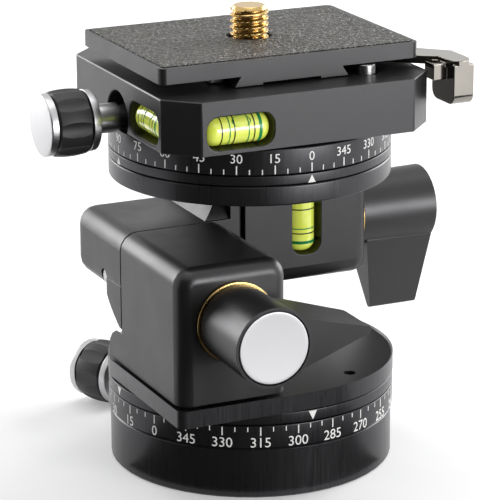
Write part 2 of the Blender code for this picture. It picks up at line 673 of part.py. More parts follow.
def lever_wing(place, out, along, crease):
    """The wing: an outline square to the boss, whose inner and outer edges slope to the tip."""
    tip = WING_TIP_HALF
    outline = [(WING_TIP_HALF, -WING_UNDER), (WING_ROOT, -WING_UNDER), (WING_L - tip, -tip),
               (WING_L - tip * (1 - math.sqrt(0.5)), -tip * math.sqrt(0.5)), (WING_L, 0),
               (WING_L - tip * (1 - math.sqrt(0.5)), tip * math.sqrt(0.5)), (WING_L - tip, tip),
               (WING_ROOT, WING_CREASE), (WING_TIP_HALF, WING_CREASE)]
    bm = bmesh.new()
    sides = []
    for root, end in ((WING_IN_ROOT, WING_IN_TIP), (LEVER_L, WING_OUT_TIP)):
        side = []
        for distance, height in outline:
            reach = wing_reach(max(distance, WING_ROOT), root, end)
            side.append(bm.verts.new(place + along * distance + crease * height + out * reach))
        sides.append(side)
    count = len(outline)
    for step in range(count):
        following = (step + 1) % count
        bm.faces.new((sides[0][step], sides[0][following], sides[1][following], sides[1][step]))
    for side in sides:
        bm.faces.new(side[:2] + side[-2:])
        bm.faces.new(side[1:-1])
    return bm


def add_lever(name, body, face, out, along, crease):
    """Locking lever: a bored boss with one wing, closed by a pale cap."""
    face = Vector(face)
    lever = make_node(name, turned([(0, LEVER_FOOT), (BOSS_IN_R, LEVER_FOOT), (BOSS_R, LEVER_L),
                                    (0, LEVER_L)], MEDIUM_SIDES, face, out), body, BLACK_BLASTED)
    join(lever, lever_wing(face, out, along, crease))
    cut(lever, rod(AXLE_BORE_R, face, face + out * (AXLE_IN_LEVER + GAP), SMALL_SIDES))
    seat = LEVER_L - LEVER_CAP_T - GAP
    cut(lever, rod(LEVER_CAP_R + GAP, face + out * seat, face + out * (LEVER_L + OVERRUN),
                   MEDIUM_SIDES))
    make_node(f"{name}_cap", rod(LEVER_CAP_R, face + out * (seat + GAP), face + out * LEVER_L,
                                 MEDIUM_SIDES, GAP), body, PALE_CAP)


def flange_outline():
    """Disc round the pitch axis, cut straight in front, behind and below, in Y and Z."""
    half = UPPER_D / 2
    corner = math.degrees(math.acos(half / HUB_R))
    foot = math.degrees(math.asin(UPPER_LOW / HUB_R))
    centre = (Y_PITCH, Z_PITCH)
    top = arc(centre, HUB_R, corner, 180 - corner, MEDIUM_SIDES // 2)
    front = arc(centre, HUB_R, 180 + corner, 180 + foot, 1)
    back = arc(centre, HUB_R, 360 - foot, 360 - corner, 1)
    return top + front + back


def add_cross(body):
    """The body between the axes: bar, roll hub, pitch flange, both axles and their screws."""
    bar = block((X_LEFT, Y_CROSS, Z_BAR), (X_FLANGE + FLANGE_T / 2, Y_CROSS_BACK, Z_HOUSING_TOP))
    fillet(bar, lambda p: at(p.x, X_LEFT) and at(p.z, Z_HOUSING_TOP), BAR_FILLET)
    fillet(bar, lambda p: at(p.x, X_LEFT) and at(p.z, Z_BAR), BAR_FILLET)
    rear = [edge for edge in bar.edges if all(at(p.co.y, Y_CROSS_BACK) for p in edge.verts)
            and not all(at(p.co.x, X_FLANGE + FLANGE_T / 2) for p in edge.verts)]
    bmesh.ops.bevel(bar, geom=rear, offset=BAR_BACK_FILLET, segments=FILLET_STEPS, profile=0.5,
                    affect="EDGES")
    cross = make_node("cross_body", bar, body, BLACK_BLASTED)
    hub = join(cross, turned([(0, 0), (HUB_R, 0), (HUB_R, HUB_RIM), (HUB_CONE_R, HUB_D), (0, HUB_D)],
                             LARGE_SIDES, (X_ROLL, Y_CROSS, Z_ROLL), ALONG["Y"]))
    keep = block((X_LEFT, Y_CROSS - OVERRUN, Z_ROLL - HUB_R - OVERRUN),
                 (X_HOUSING_RIGHT, Y_CROSS + HUB_D + OVERRUN, Z_ROLL))
    combine(hub, keep, "INTERSECT")
    flange = prism(flange_outline(), "X", X_FLANGE, X_FLANGE_RIGHT)
    upright = [edge for edge in flange.edges if all(
        at(p.co.x, X_FLANGE_RIGHT) and at(p.co.y, Y_CROSS) for p in edge.verts)]
    bmesh.ops.bevel(flange, geom=upright, offset=FLANGE_FILLET, segments=FILLET_STEPS,
                    profile=0.5, affect="EDGES")
    join(cross, flange)
    cut_axle_holes(cross)
    roll_end = Y_CROSS + ROLL_AXLE_DEEP
    make_node("roll_axle", rod(AXLE_R, (X_ROLL, roll_end, Z_ROLL),
                               (X_ROLL, Y_FRONT - AXLE_IN_LEVER, Z_ROLL), SMALL_SIDES, AXLE_EDGE),
              body, STEEL)
    make_node("pitch_axle", rod(AXLE_R, (X_PITCH_AXLE, Y_PITCH, Z_PITCH),
                                (X_UPPER_RIGHT + AXLE_IN_LEVER, Y_PITCH, Z_PITCH), SMALL_SIDES,
                                AXLE_EDGE), body, STEEL)
    for name, screw in zip(("roll_set_screw", "pitch_set_screw"), set_screws(0)):
        make_node(name, screw, body, STEEL)


def set_screws(play):
    """The two screws that hold the axles, or with play their holes."""
    radius = SET_SCREW_R + play
    outside = -OVERRUN if play else SET_SCREW_SUNK
    roll_y = Y_CROSS + ROLL_SCREW_BACK
    pitch_x = X_FLANGE_RIGHT - PITCH_SCREW_SIDE
    clear = -OVERRUN if play else GAP
    return [rod(radius, (X_LEFT + outside, roll_y, Z_ROLL),
                (X_ROLL - AXLE_R - clear, roll_y, Z_ROLL), TINY_SIDES),
            rod(radius, (pitch_x, Y_CROSS_BACK - outside, Z_PITCH),
                (pitch_x, Y_PITCH + AXLE_R + clear, Z_PITCH), TINY_SIDES)]


def cut_axle_holes(cross):
    cut(cross, rod(AXLE_BORE_R, (X_ROLL, Y_CROSS - OVERRUN, Z_ROLL),
                   (X_ROLL, Y_CROSS + ROLL_AXLE_DEEP + GAP, Z_ROLL), SMALL_SIDES))
    cut(cross, rod(AXLE_BORE_R, (X_FLANGE_RIGHT + OVERRUN, Y_PITCH, Z_PITCH),
                   (X_PITCH_AXLE - GAP, Y_PITCH, Z_PITCH), SMALL_SIDES))
    for hole in set_screws(GAP):
        cut(cross, hole)


def window(place, along, face, deep):
    """A round-cornered pocket for a vial; along is its length's axis, deep its depth's."""
    half_l = WINDOW_L / 2
    half_w = WINDOW_W / 2
    depth = VIAL_SUNK + 2 * VIAL_R + GAP
    halves = {"X": half_w, "Y": half_w, "Z": half_w}
    halves[along] = half_l
    first, second = [axis for axis in "XYZ" if axis != deep]
    centre = [place["XYZ".index(axis)] for axis in (first, second)]
    outline = rounded_rectangle(centre, halves[first], halves[second], WINDOW_CORNER)
    return prism(outline, deep, face - OVERRUN, face + depth)


def add_vial(name, body, item, place, along, deep):
    """Cut a window into a face and lay a vial in it; place is the window's centre on the face."""
    level = "XYZ".index(deep)
    cut(item, window(place, along, place[level], deep))
    middle = Vector(place) + ALONG[deep] * (VIAL_SUNK + VIAL_R)
    curve = WINDOW_CORNER - GAP
    half = WINDOW_L / 2 - GAP
    dome = arc((VIAL_R - curve, half - curve), curve, 0, 90, FILLET_STEPS)
    profile = [(radius, -height) for radius, height in dome[::-1]] + dome
    make_node(name, turned([(0, -half)] + profile + [(0, half)], SMALL_SIDES, middle, ALONG[along]),
              body, VIAL_GREEN)


def disc_screw_places():
    """Three of the four corners of the upper housing's top, clear of the rim of the disc."""
    corners = cap_screw_places(X_UPPER, X_UPPER_RIGHT, Y_CROSS, Y_UPPER_BACK)
    edge = TOP_R - CAP_SCREW_HEAD_R - GAP - GAP
    clear = SPINDLE_R + CAP_SCREW_HEAD_R
    moved = [(x + CAP_SCREW_INSET, y) if math.hypot(x, y) < clear else (x, y) for x, y in corners]
    return [(x, y) for x, y in moved if math.hypot(x, y) < edge]


def add_tilt_head(body):
    """Upper housing on the pitch axle, with the disc, ring and spindle that the clamp turns on."""
    box = block((X_UPPER, Y_CROSS, Z_UPPER), (X_UPPER_RIGHT, Y_UPPER_BACK, Z_UPPER_TOP))
    fillet(box, lambda p: at(p.y, Y_CROSS) and at(p.z, Z_UPPER), UPPER_BOTTOM_FILLET)
    fillet(box, lambda p: at(p.y, Y_UPPER_BACK) and at(p.z, Z_UPPER), UPPER_BOTTOM_FILLET)
    side = [edge for edge in box.edges if all(at(p.co.x, X_UPPER_RIGHT) for p in edge.verts)
            and not all(at(p.co.z, Z_UPPER_TOP) for p in edge.verts)]
    bmesh.ops.bevel(box, geom=side, offset=UPPER_SIDE_FILLET, segments=FILLET_STEPS, profile=0.5,
                    affect="EDGES")
    housing = make_node("upper_housing", box, body, BLACK_BLASTED)
    cut(housing, rod(AXLE_BORE_R, (X_UPPER - OVERRUN, Y_PITCH, Z_PITCH),
                     (X_UPPER_RIGHT + OVERRUN, Y_PITCH, Z_PITCH), SMALL_SIDES))
    add_vial("upright_vial", body, housing,
             (X_UPPER + UPRIGHT_VIAL_X, Y_CROSS, Z_PITCH + UPRIGHT_VIAL_RISE), "Z", "Y")
    head_end = Z_TOP_DISC + TOP_DISC_H
    screw_holes(housing, disc_screw_places(), head_end, -1, TOP_DISC_H)
    disc = make_node("top_disc", ring(TOP_R, SPIGOT_R + GAP, Z_TOP_DISC, head_end, LARGE_SIDES,
                                      DISC_EDGE), body, BLACK_SATIN)
    screw_holes(disc, disc_screw_places(), head_end, -1, TOP_DISC_H)
    add_screws("disc_screw", body, disc_screw_places(), head_end, -1, TOP_DISC_H)
    make_node("top_index_ring", ring(TOP_R, SPINDLE_R + GAP, Z_TOP_INDEX, Z_TOP_INDEX + TOP_INDEX_H,
                                     LARGE_SIDES, GAP), body, BLACK_SATIN)
    crown = Z_CLAMP_TOP - SPINDLE_TOP_WALL - GAP
    make_node("top_spindle", turned(
        [(0, Z_TOP_DISC + GAP), (SPIGOT_R, Z_TOP_DISC + GAP), (SPIGOT_R, Z_TOP_INDEX),
         (SPINDLE_R, Z_TOP_INDEX)] + groove(SPINDLE_R, Z_TOP_KNOB)
        + [(SPINDLE_R, crown), (0, crown)], MEDIUM_SIDES), body, STEEL)
    add_washer("pitch_washer", body, (X_UPPER_RIGHT, Y_PITCH, Z_PITCH), ALONG["X"])


def clamp_outline():
    x, y, corner = CLAMP_HALF_X, CLAMP_HALF_Y, CLAMP_CORNER
    return [(x, corner - y), (x, y - corner), (x - corner, y), (corner - x, y), (-x, y - corner),
            (-x, corner - y), (corner - x, -y), (x - corner, -y)]


def add_clamp(body):
    """Degree ring and clamp body on the upper spindle, with vials, jaw, stop pin and pivot."""
    bore = SPINDLE_R + GAP
    make_node("top_scale_ring", ring(TOP_R, bore, Z_TOP_SCALE, Z_TOP_SCALE + TOP_SCALE_H,
                                     LARGE_SIDES, GAP), body, BLACK_SATIN)
    clamp = make_node("clamp_body", prism(clamp_outline(), "Z", Z_CLAMP, Z_CLAMP_TOP), body,
                      BLACK_BLASTED)
    cut(clamp, rod(bore, (0, 0, Z_CLAMP - OVERRUN), (0, 0, Z_CLAMP_TOP - SPINDLE_TOP_WALL),
                   MEDIUM_SIDES))
    vial_z = Z_CLAMP + CLAMP_VIAL_RISE
    add_vial("front_vial", body, clamp, (FRONT_VIAL_X, -CLAMP_HALF_Y, vial_z), "X", "Y")
    add_vial("side_vial", body, clamp, (-CLAMP_HALF_X, SIDE_VIAL_Y, vial_z), "Y", "X")
    cut(clamp, knob_bore(math.pi, Z_TOP_KNOB, (bore + SPIGOT_R) / 2, CLAMP_HALF_X))
    cut(clamp, rod(KNOB_SEAT_R, (KNOB_SEAT_DEEP - CLAMP_HALF_X, 0, Z_TOP_KNOB),
                   (-CLAMP_HALF_X - OVERRUN, 0, Z_TOP_KNOB), SMALL_SIDES))
    for side, slot in ((-1, GAP), (1, GAP + JAW_TRAVEL)):
        cut(clamp, tongue(side, GAP, slot, Z_CLAMP_TOP + OVERRUN))
    for x, y in (STOP_PIN, PIVOT):
        cut(clamp, rod(PIN_R + GAP, (x, y, Z_CLAMP_TOP - PIN_DEEP - GAP),
                       (x, y, Z_CLAMP_TOP + OVERRUN), SMALL_SIDES))
    make_node("stop_pin", rod(PIN_R, (*STOP_PIN, Z_CLAMP_TOP - PIN_DEEP), (*STOP_PIN, Z_JAW_TOP),
                              SMALL_SIDES, GAP), body, STEEL)
    make_node("lever_pivot", rod(PIN_R, (*PIVOT, Z_CLAMP_TOP - PIN_DEEP), (*PIVOT, Z_JAW_TOP),
                                 SMALL_SIDES, GAP), body, STEEL)
    add_jaw("fixed_jaw", body, -1)
    add_brake_pin("top_brake_pin", body, math.pi, Z_TOP_KNOB, SPINDLE_R)


def keel_half(level):
    """Half width of the plate's dovetail at a height."""
    share = (level - Z_JAW) / (Z_PLATE - Z_JAW)
    return KEEL_HALF + (KEEL_TOP_HALF - KEEL_HALF) * share


def tongue(side, play, slot, top):
    """The key under a jaw, or with play its slot in the clamp, longer outwards by slot."""
    outer = JAW_BACK_X - GAP - GAP
    inner = outer - TONGUE_L
    middle = (JAW_FRONT_Y + JAW_END_Y) / 2
    ends = sorted((side * (inner - play), side * (outer + slot)))
    return block((ends[0], middle - TONGUE_W / 2 - play, Z_JAW - TONGUE_H - play),
                 (ends[1], middle + TONGUE_W / 2 + play, top))


def add_jaw(name, body, side):
    """A dovetail jaw whose flank runs parallel to the keel's, on one side of the plate."""
    low = keel_half(Z_JAW) + GAP
    high = keel_half(Z_JAW_TOP) + GAP
    back = JAW_BACK_X
    outline = [(side * low, Z_JAW), (side * back, Z_JAW), (side * back, Z_JAW_TOP - JAW_CHAMFER),
               (side * (back - JAW_CHAMFER), Z_JAW_TOP), (side * high, Z_JAW_TOP)]
    jaw = make_node(name, prism(outline, "Y", JAW_FRONT_Y, JAW_END_Y), body, BLACK_SATIN)
    join(jaw, tongue(side, 0, 0, Z_JAW + JAW_T / 2))


def lever_outline():
    """Plan of the clamp lever: cam round its pivot, arm to the front right, top of the tab."""
    centre = (PIVOT[0] - CAM_THROW, PIVOT[1])
    tab_in = CLAMP_HALF_X + TAB_OUT
    tab_out = tab_in + TAB_T
    nose_in = tab_in + TAB_T * TAB_NOSE_SHARE
    nose_out = tab_out - TAB_T * TAB_NOSE_SHARE
    cam = arc(centre, CAM_R, CAM_START, CAM_END, CAM_STEPS)
    front = [(CLAMP_HALF_X + ARM_EASE, ARM_FRONT_Y), (tab_in - ARM_EASE, ARM_FRONT_Y - ARM_SLOPE),
             (tab_in - ARM_EASE, NECK_FRONT_Y)]
    nose = [(tab_in, NECK_FRONT_Y - TAB_CORNER), (nose_in, TAB_FRONT_Y), (nose_out, TAB_FRONT_Y),
            (tab_out, TAB_FRONT_Y + TAB_CORNER)]
    back = [(tab_out, TAB_BACK_Y), (tab_in, TAB_BACK_Y + TAB_T)]
    return cam + front + nose + back


def add_clamp_lever(body):
    """Cam lever: flat cam and arm over the clamp, thicker neck and a tab that hangs beside it."""
    lever = make_node("clamp_lever", prism(lever_outline(), "Z", Z_JAW, Z_JAW_TOP), body, CHROME)
    tab_in = CLAMP_HALF_X + TAB_OUT
    middle = (TAB_FRONT_Y + TAB_BACK_Y) / 2
    top = Z_JAW + JAW_T / 2
    tab = prism([(TAB_FRONT_Y, top), (TAB_BACK_Y, top)]
                + arc((TAB_BACK_Y - TAB_CORNER, Z_JAW_TOP - TAB_H + TAB_CORNER), TAB_CORNER,
                      0, -90, FILLET_STEPS)
                + arc((TAB_FRONT_Y + TAB_CORNER, Z_JAW_TOP - TAB_H + TAB_CORNER), TAB_CORNER,
                      -90, -180, FILLET_STEPS), "X", tab_in, tab_in + TAB_T)
    join(lever, tab)
    neck = block((CLAMP_HALF_X + NECK_IN, NECK_FRONT_Y, Z_JAW_TOP - NECK_H),
                 (tab_in + TAB_T / 2, middle + TAB_CORNER, top))
    join(lever, neck)
    cut(lever, rod(PIN_R + GAP, (*PIVOT, Z_JAW - OVERRUN), (*PIVOT, Z_JAW_TOP + OVERRUN),
                   SMALL_SIDES))


def add_plate(body):
    """Quick plate with its dovetail keel and recessed rubber pad."""
    corner = PLATE_CORNER
    outline = rounded_rectangle((0, 0), PLATE_HALF_X, PLATE_HALF_Y, corner)
    plate = make_node("quick_plate", prism(outline, "Z", Z_PLATE, Z_PLATE_TOP), body, BLACK_BLASTED)
    base = Z_JAW
    ceiling = Z_JAW + KEEL_SLOT_DEEP
    root = Z_PLATE + KEEL_BITE
    keel = [(-KEEL_TOP_HALF, root), (-KEEL_TOP_HALF, Z_PLATE), (-KEEL_HALF, base),
            (-KEEL_SLOT_HALF, base), (-KEEL_SLOT_HALF, ceiling), (KEEL_SLOT_HALF, ceiling),
            (KEEL_SLOT_HALF, base), (KEEL_HALF, base), (KEEL_TOP_HALF, Z_PLATE), (KEEL_TOP_HALF, root)]
    join(plate, prism(keel, "Y", -PLATE_HALF_Y, PLATE_HALF_Y))
    floor = Z_PLATE_TOP - PAD_SUNK
    recess = rounded_rectangle((0, 0), PLATE_HALF_X - RIM_T, PLATE_HALF_Y - RIM_T, corner / 2)
    cut(plate, prism(recess, "Z", floor, Z_PLATE_TOP + OVERRUN))
    head_top = ceiling + CAMERA_HEAD_SUNK + CAMERA_HEAD_T
    cut(plate, rod(CAMERA_HEAD_R + GAP, (0, 0, base - OVERRUN), (0, 0, head_top + GAP), MEDIUM_SIDES))
    cut(plate, rod(CAMERA_SCREW_R + GAP, (0, 0, base), (0, 0, Z_PLATE_TOP + OVERRUN), SMALL_SIDES))
    pad = rounded_rectangle((0, 0), PLATE_HALF_X - RIM_T - GAP, PLATE_HALF_Y - RIM_T - GAP, corner / 2)
    pad_item = make_node("plate_pad", prism(pad, "Z", floor + GAP, Z_PLATE_TOP + PAD_PROUD), body,
                         PAD_RUBBER)
    cut(pad_item, rod(PAD_HOLE_R, (0, 0, floor - OVERRUN), (0, 0, Z_PLATE_TOP + OVERRUN),
                      SMALL_SIDES))


def add_camera_screw(body):
    """Coin-slotted brass screw, its head under the plate and its thread over the pad."""
    head = Z_JAW + KEEL_SLOT_DEEP + CAMERA_HEAD_SUNK
    shoulder = head + CAMERA_HEAD_T
    tip = Z_PLATE_TOP + CAMERA_SCREW_OUT
    screw = make_node("camera_screw", turned(
        [(0, head), (CAMERA_HEAD_R, head), (CAMERA_HEAD_R, shoulder), (CAMERA_SCREW_R, shoulder),
         (CAMERA_SCREW_R, tip - CAMERA_SCREW_TIP), (CAMERA_SCREW_R - CAMERA_SCREW_TIP, tip),
         (0, tip)], SMALL_SIDES), body, BRASS)
    cut(screw, block((-CAMERA_HEAD_R - OVERRUN, -COIN_SLOT_HALF, head - OVERRUN),
                     (CAMERA_HEAD_R + OVERRUN, COIN_SLOT_HALF, head + COIN_SLOT_DEEP)))


def main():
    clear_scene()
    base = make_body("base", (0, 0, 0))
    lower_knob = make_body("lower_knob", tuple(radial(LOW_KNOB_ANGLE, LOW_KNOB_IN, LOW_KNOB_Z)), base)
    platform = make_body("platform", (0, 0, Z_LOW_INDEX), base)
    roll_lever = make_body("roll_lever", (X_ROLL, Y_FRONT, Z_ROLL), platform)
    cross = make_body("cross", (X_ROLL, Y_CROSS, Z_ROLL), platform)
    tilt_head = make_body("tilt_head", (X_UPPER, Y_PITCH, Z_PITCH), cross)
    pitch_lever = make_body("pitch_lever", (X_UPPER_RIGHT, Y_PITCH, Z_PITCH), tilt_head)
    clamp = make_body("clamp", (0, 0, Z_TOP_SCALE), tilt_head)
    upper_knob = make_body("upper_knob", (-TOP_KNOB_IN, 0, Z_TOP_KNOB), clamp)
    clamp_lever = make_body("clamp_lever", (*PIVOT, Z_JAW), clamp)
    moving_jaw = make_body("moving_jaw", (JAW_BACK_X, 0, Z_JAW), clamp)
    plate = make_body("plate", (0, 0, Z_PLATE), clamp)
    camera_screw = make_body("camera_screw", (0, 0, Z_PLATE), plate)
    add_base(base)
    add_knob("lower_knob", lower_knob, LOW_KNOB_ANGLE, LOW_KNOB_Z, LOW_KNOB_IN, BASE_R, SKIRT_R)
    add_platform(platform)
    add_lever("roll_lever", roll_lever, (X_ROLL, Y_FRONT, Z_ROLL), -ALONG["Y"], ALONG["X"],
              ALONG["Z"])
    add_cross(cross)
    add_tilt_head(tilt_head)
    lean = PITCH_LEVER_TILT
    add_lever("pitch_lever", pitch_lever, (X_UPPER_RIGHT, Y_PITCH, Z_PITCH), ALONG["X"],
              Vector((0, -math.sin(lean), -math.cos(lean))),
              Vector((0, -math.cos(lean), math.sin(lean))))
    add_clamp(clamp)
    add_knob("upper_knob", upper_knob, math.pi, Z_TOP_KNOB, TOP_KNOB_IN, CLAMP_HALF_X, SPINDLE_R)
    add_clamp_lever(clamp_lever)
    add_jaw("moving_jaw", moving_jaw, 1)
    add_plate(plate)
    add_camera_screw(camera_screw)


main()
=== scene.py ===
# Looks of a tripod levelling head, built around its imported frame.
# Metres, +Z up, the object's front towards -Y.

import math

import bmesh
import bpy
import numpy as np
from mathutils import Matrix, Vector


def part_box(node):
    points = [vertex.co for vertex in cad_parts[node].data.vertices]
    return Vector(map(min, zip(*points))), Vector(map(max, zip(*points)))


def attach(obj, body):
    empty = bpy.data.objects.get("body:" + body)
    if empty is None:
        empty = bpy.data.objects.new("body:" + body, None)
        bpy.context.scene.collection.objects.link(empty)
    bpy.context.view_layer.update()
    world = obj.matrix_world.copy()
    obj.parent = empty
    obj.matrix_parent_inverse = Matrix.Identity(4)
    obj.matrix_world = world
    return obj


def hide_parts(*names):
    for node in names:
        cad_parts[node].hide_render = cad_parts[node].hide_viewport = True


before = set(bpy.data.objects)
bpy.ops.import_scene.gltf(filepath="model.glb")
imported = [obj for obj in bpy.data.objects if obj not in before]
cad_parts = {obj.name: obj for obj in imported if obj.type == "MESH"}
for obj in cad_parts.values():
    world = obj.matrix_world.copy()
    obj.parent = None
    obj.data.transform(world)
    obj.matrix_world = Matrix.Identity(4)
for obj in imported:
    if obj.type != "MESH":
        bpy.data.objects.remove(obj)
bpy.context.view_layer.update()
mm = 0.001
fullTurn = 2 * math.pi
zAxis = np.array([0.0, 0.0, 1.0])
print("frame loaded:", len(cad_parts), "nodes")


# Colour and node helpers

def linearColour(hexText):
    # each sRGB channel over 0.04045 is ((c + 0.055) / 1.055) to the power 2.4
    channels = np.array([int(hexText[i:i + 2], 16) for i in (1, 3, 5)]) / 255
    linear = np.where(channels > 0.04045, ((channels + 0.055) / 1.055) ** 2.4, channels / 12.92)
    return (*[float(channel) for channel in linear], 1.0)


def addNode(tree, kind, settings=None, inputs=None):
    # a value fills the input, and a socket is linked to it
    node = tree.nodes.new(kind)
    for name, value in (settings or {}).items():
        setattr(node, name, value)
    for name, value in (inputs or {}).items():
        if isinstance(value, bpy.types.NodeSocket):
            tree.links.new(value, node.inputs[name])
        else:
            node.inputs[name].default_value = value
    return node


def startMaterial(name, look):
    # look holds the shader's own sockets, by their names; colours are hex text
    material = bpy.data.materials.new(name)
    material.use_nodes = True
    tree = material.node_tree
    shader = tree.nodes["Principled BSDF"]
    for socket, value in look.items():
        value = linearColour(value) if isinstance(value, str) else value
        shader.inputs[socket].default_value = value
    return material, tree, shader


def objectPlace(tree, stretch=(1, 1, 1)):
    place = addNode(tree, "ShaderNodeTexCoord")
    return addNode(tree, "ShaderNodeMapping", None,
                   {"Vector": place.outputs["Object"], "Scale": stretch}).outputs["Vector"]


def perMetre(sizeMm):
    # a texture's scale for a feature of this size
    return 1 / (sizeMm * mm)


def ramp(tree, source, low, high, fromLow=0.3, fromHigh=0.7):
    return addNode(tree, "ShaderNodeMapRange", None, {
        "Value": source, "From Min": fromLow, "From Max": fromHigh, "To Min": low,
        "To Max": high}).outputs["Result"]


def tint(tree, source, lowHex, highHex):
    mixer = addNode(tree, "ShaderNodeMix", {"data_type": "RGBA"}, {0: source})
    mixer.inputs["A"].default_value = linearColour(lowHex)
    mixer.inputs["B"].default_value = linearColour(highHex)
    return next(socket for socket in mixer.outputs if socket.type == "RGBA")


def bump(tree, shader, height, depthMm, strength=1.0):
    node = addNode(tree, "ShaderNodeBump", None, {
        "Height": height, "Distance": depthMm * mm, "Strength": strength})
    tree.links.new(node.outputs["Normal"], shader.inputs["Normal"])


# Materials

blastLook = {"gritMm": 0.22, "blotchMm": 14, "dark": "#3a3a3b", "light": "#444445",
             "roughLow": 0.33, "roughHigh": 0.43, "depthMm": 0.006}


def makeBlastedAnodised():
    # aluminium, bead blasted and dyed black in the anodising: an even satin with fine glints
    material, tree, shader = startMaterial("beadBlastedAnodised", {"Metallic": 0.85})
    place = objectPlace(tree)
    grit = addNode(tree, "ShaderNodeTexNoise", None, {
        "Vector": place, "Scale": perMetre(blastLook["gritMm"]), "Detail": 2})
    blotch = addNode(tree, "ShaderNodeTexNoise", None, {
        "Vector": place, "Scale": perMetre(blastLook["blotchMm"]), "Detail": 3})
    colour = tint(tree, grit.outputs["Fac"], blastLook["dark"], blastLook["light"])
    tree.links.new(colour, shader.inputs["Base Color"])
    rough = ramp(tree, blotch.outputs["Fac"], blastLook["roughLow"], blastLook["roughHigh"])
    tree.links.new(rough, shader.inputs["Roughness"])
    bump(tree, shader, grit.outputs["Fac"], blastLook["depthMm"])
    return material


turnedLook = {"lineMm": 0.35, "alongMm": 9, "dark": "#38383a", "light": "#454547",
              "roughLow": 0.27, "roughHigh": 0.38, "depthMm": 0.004}


def makeTurnedAnodised():
    # aluminium turned on a lathe and anodised black: fine lines run up the rims, so light
    # smears along them
    material, tree, shader = startMaterial("turnedAnodised", {"Metallic": 0.85})
    stretch = turnedLook["lineMm"] / turnedLook["alongMm"]
    place = objectPlace(tree, (1, 1, stretch))
    lines = addNode(tree, "ShaderNodeTexNoise", None, {
        "Vector": place, "Scale": perMetre(turnedLook["lineMm"]), "Detail": 3})
    colour = tint(tree, lines.outputs["Fac"], turnedLook["dark"], turnedLook["light"])
    tree.links.new(colour, shader.inputs["Base Color"])
    rough = ramp(tree, lines.outputs["Fac"], turnedLook["roughLow"], turnedLook["roughHigh"])
    tree.links.new(rough, shader.inputs["Roughness"])
    bump(tree, shader, lines.outputs["Fac"], turnedLook["depthMm"])
    return material


# the grain is drawn a little coarser than the real one, so that it shows
padLook = {"grainMm": 1.3, "creaseMm": 0.6, "dark": "#100f0d", "light": "#57544c", "rough": 0.5,
           "depthMm": 0.6}


def makeLeatherGrainRubber():
    # sheet rubber moulded with a leather grain; its colour holds painted light: a painted highlight on
    # the pebbles and painted shade in the creases
    material, tree, shader = startMaterial("leatherGrainRubber", {"Roughness": padLook["rough"]})
    place = objectPlace(tree)
    warp = addNode(tree, "ShaderNodeTexNoise", None, {
        "Vector": place, "Scale": perMetre(2 * padLook["grainMm"]), "Detail": 2})
    offset = addNode(tree, "ShaderNodeVectorMath", {"operation": "SCALE"}, {
        0: warp.outputs["Color"], "Scale": padLook["creaseMm"] * 2 * mm})
    moved = addNode(tree, "ShaderNodeVectorMath", {"operation": "ADD"}, {
        0: place, 1: offset.outputs["Vector"]})
    pebbles = addNode(tree, "ShaderNodeTexVoronoi", {"feature": "DISTANCE_TO_EDGE"}, {
        "Vector": moved.outputs["Vector"], "Scale": perMetre(padLook["grainMm"])})
    height = ramp(tree, pebbles.outputs["Distance"], 0.0, 1.0, 0.0, 0.3)
    # painted highlight on the pebbles' tops and painted shade in the creases, by the grain's height
    colour = tint(tree, height, padLook["dark"], padLook["light"])
    tree.links.new(colour, shader.inputs["Base Color"])
    bump(tree, shader, height, padLook["depthMm"])
    return material


gripLook = {"speckMm": 0.3, "dark": "#161616", "light": "#1f1f1f", "rough": 0.5, "depthMm": 0.01}


def makeMouldedRubber():
    # rubber grip as it leaves a polished mould: black, with a soft sheen on the ribs
    material, tree, shader = startMaterial("mouldedRubber", {"Roughness": gripLook["rough"]})
    specks = addNode(tree, "ShaderNodeTexNoise", None, {
        "Vector": objectPlace(tree), "Scale": perMetre(gripLook["speckMm"]), "Detail": 2})
    colour = tint(tree, specks.outputs["Fac"], gripLook["dark"], gripLook["light"])
    tree.links.new(colour, shader.inputs["Base Color"])
    bump(tree, shader, specks.outputs["Fac"], gripLook["depthMm"])
    return material


def makeBareMetal(name, look):
    # one recipe for the bare metals: the colour drifts slightly, and tool marks set the roughness
    material, tree, shader = startMaterial(name, {"Metallic": 1.0})
    marks = addNode(tree, "ShaderNodeTexNoise", None, {
        "Vector": objectPlace(tree), "Scale": perMetre(look["markMm"]), "Detail": 3})
    colour = tint(tree, marks.outputs["Fac"], look["dark"], look["light"])
    tree.links.new(colour, shader.inputs["Base Color"])
    rough = ramp(tree, marks.outputs["Fac"], look["roughLow"], look["roughHigh"])
    tree.links.new(rough, shader.inputs["Roughness"])
    bump(tree, shader, marks.outputs["Fac"], look["depthMm"])
    return material


bareMetals = {
    # brass, polished: warm, sharp glints on the thread's crests
    "polishedBrass": {"markMm": 0.5, "dark": "#bd9a58", "light": "#d8bb82", "roughLow": 0.16,
                      "roughHigh": 0.26, "depthMm": 0.002},
    # aluminium, turned and left natural: soft grey silver on the knobs' rings
    "turnedAluminium": {"markMm": 0.3, "dark": "#b4b4b5", "light": "#c6c6c7", "roughLow": 0.28,
                        "roughHigh": 0.36, "depthMm": 0.003},
    # aluminium, fine blasted: pale, without a mirror image
    "blastedAluminium": {"markMm": 0.25, "dark": "#c4c4c6", "light": "#cdcdcf", "roughLow": 0.45,
                         "roughHigh": 0.55, "depthMm": 0.003},
    # chromium plate on a polished casting: a slightly warm grey mirror
    "polishedChrome": {"markMm": 6, "dark": "#8f8b84", "light": "#9b9790", "roughLow": 0.1,
                       "roughHigh": 0.16, "depthMm": 0.001},
    # steel, ground: darker than the aluminium, with a soft line of light
    "groundSteel": {"markMm": 0.4, "dark": "#8d8d8e", "light": "#a3a3a4", "roughLow": 0.24,
                    "roughHigh": 0.34, "depthMm": 0.002},
}

vialLook = {"fluid": "#cfdc3c", "fluidPale": "#e6ee7e", "glow": "#d3e23c", "paintedGlowStrength": 0.16,
            "swirlMm": 3.0}


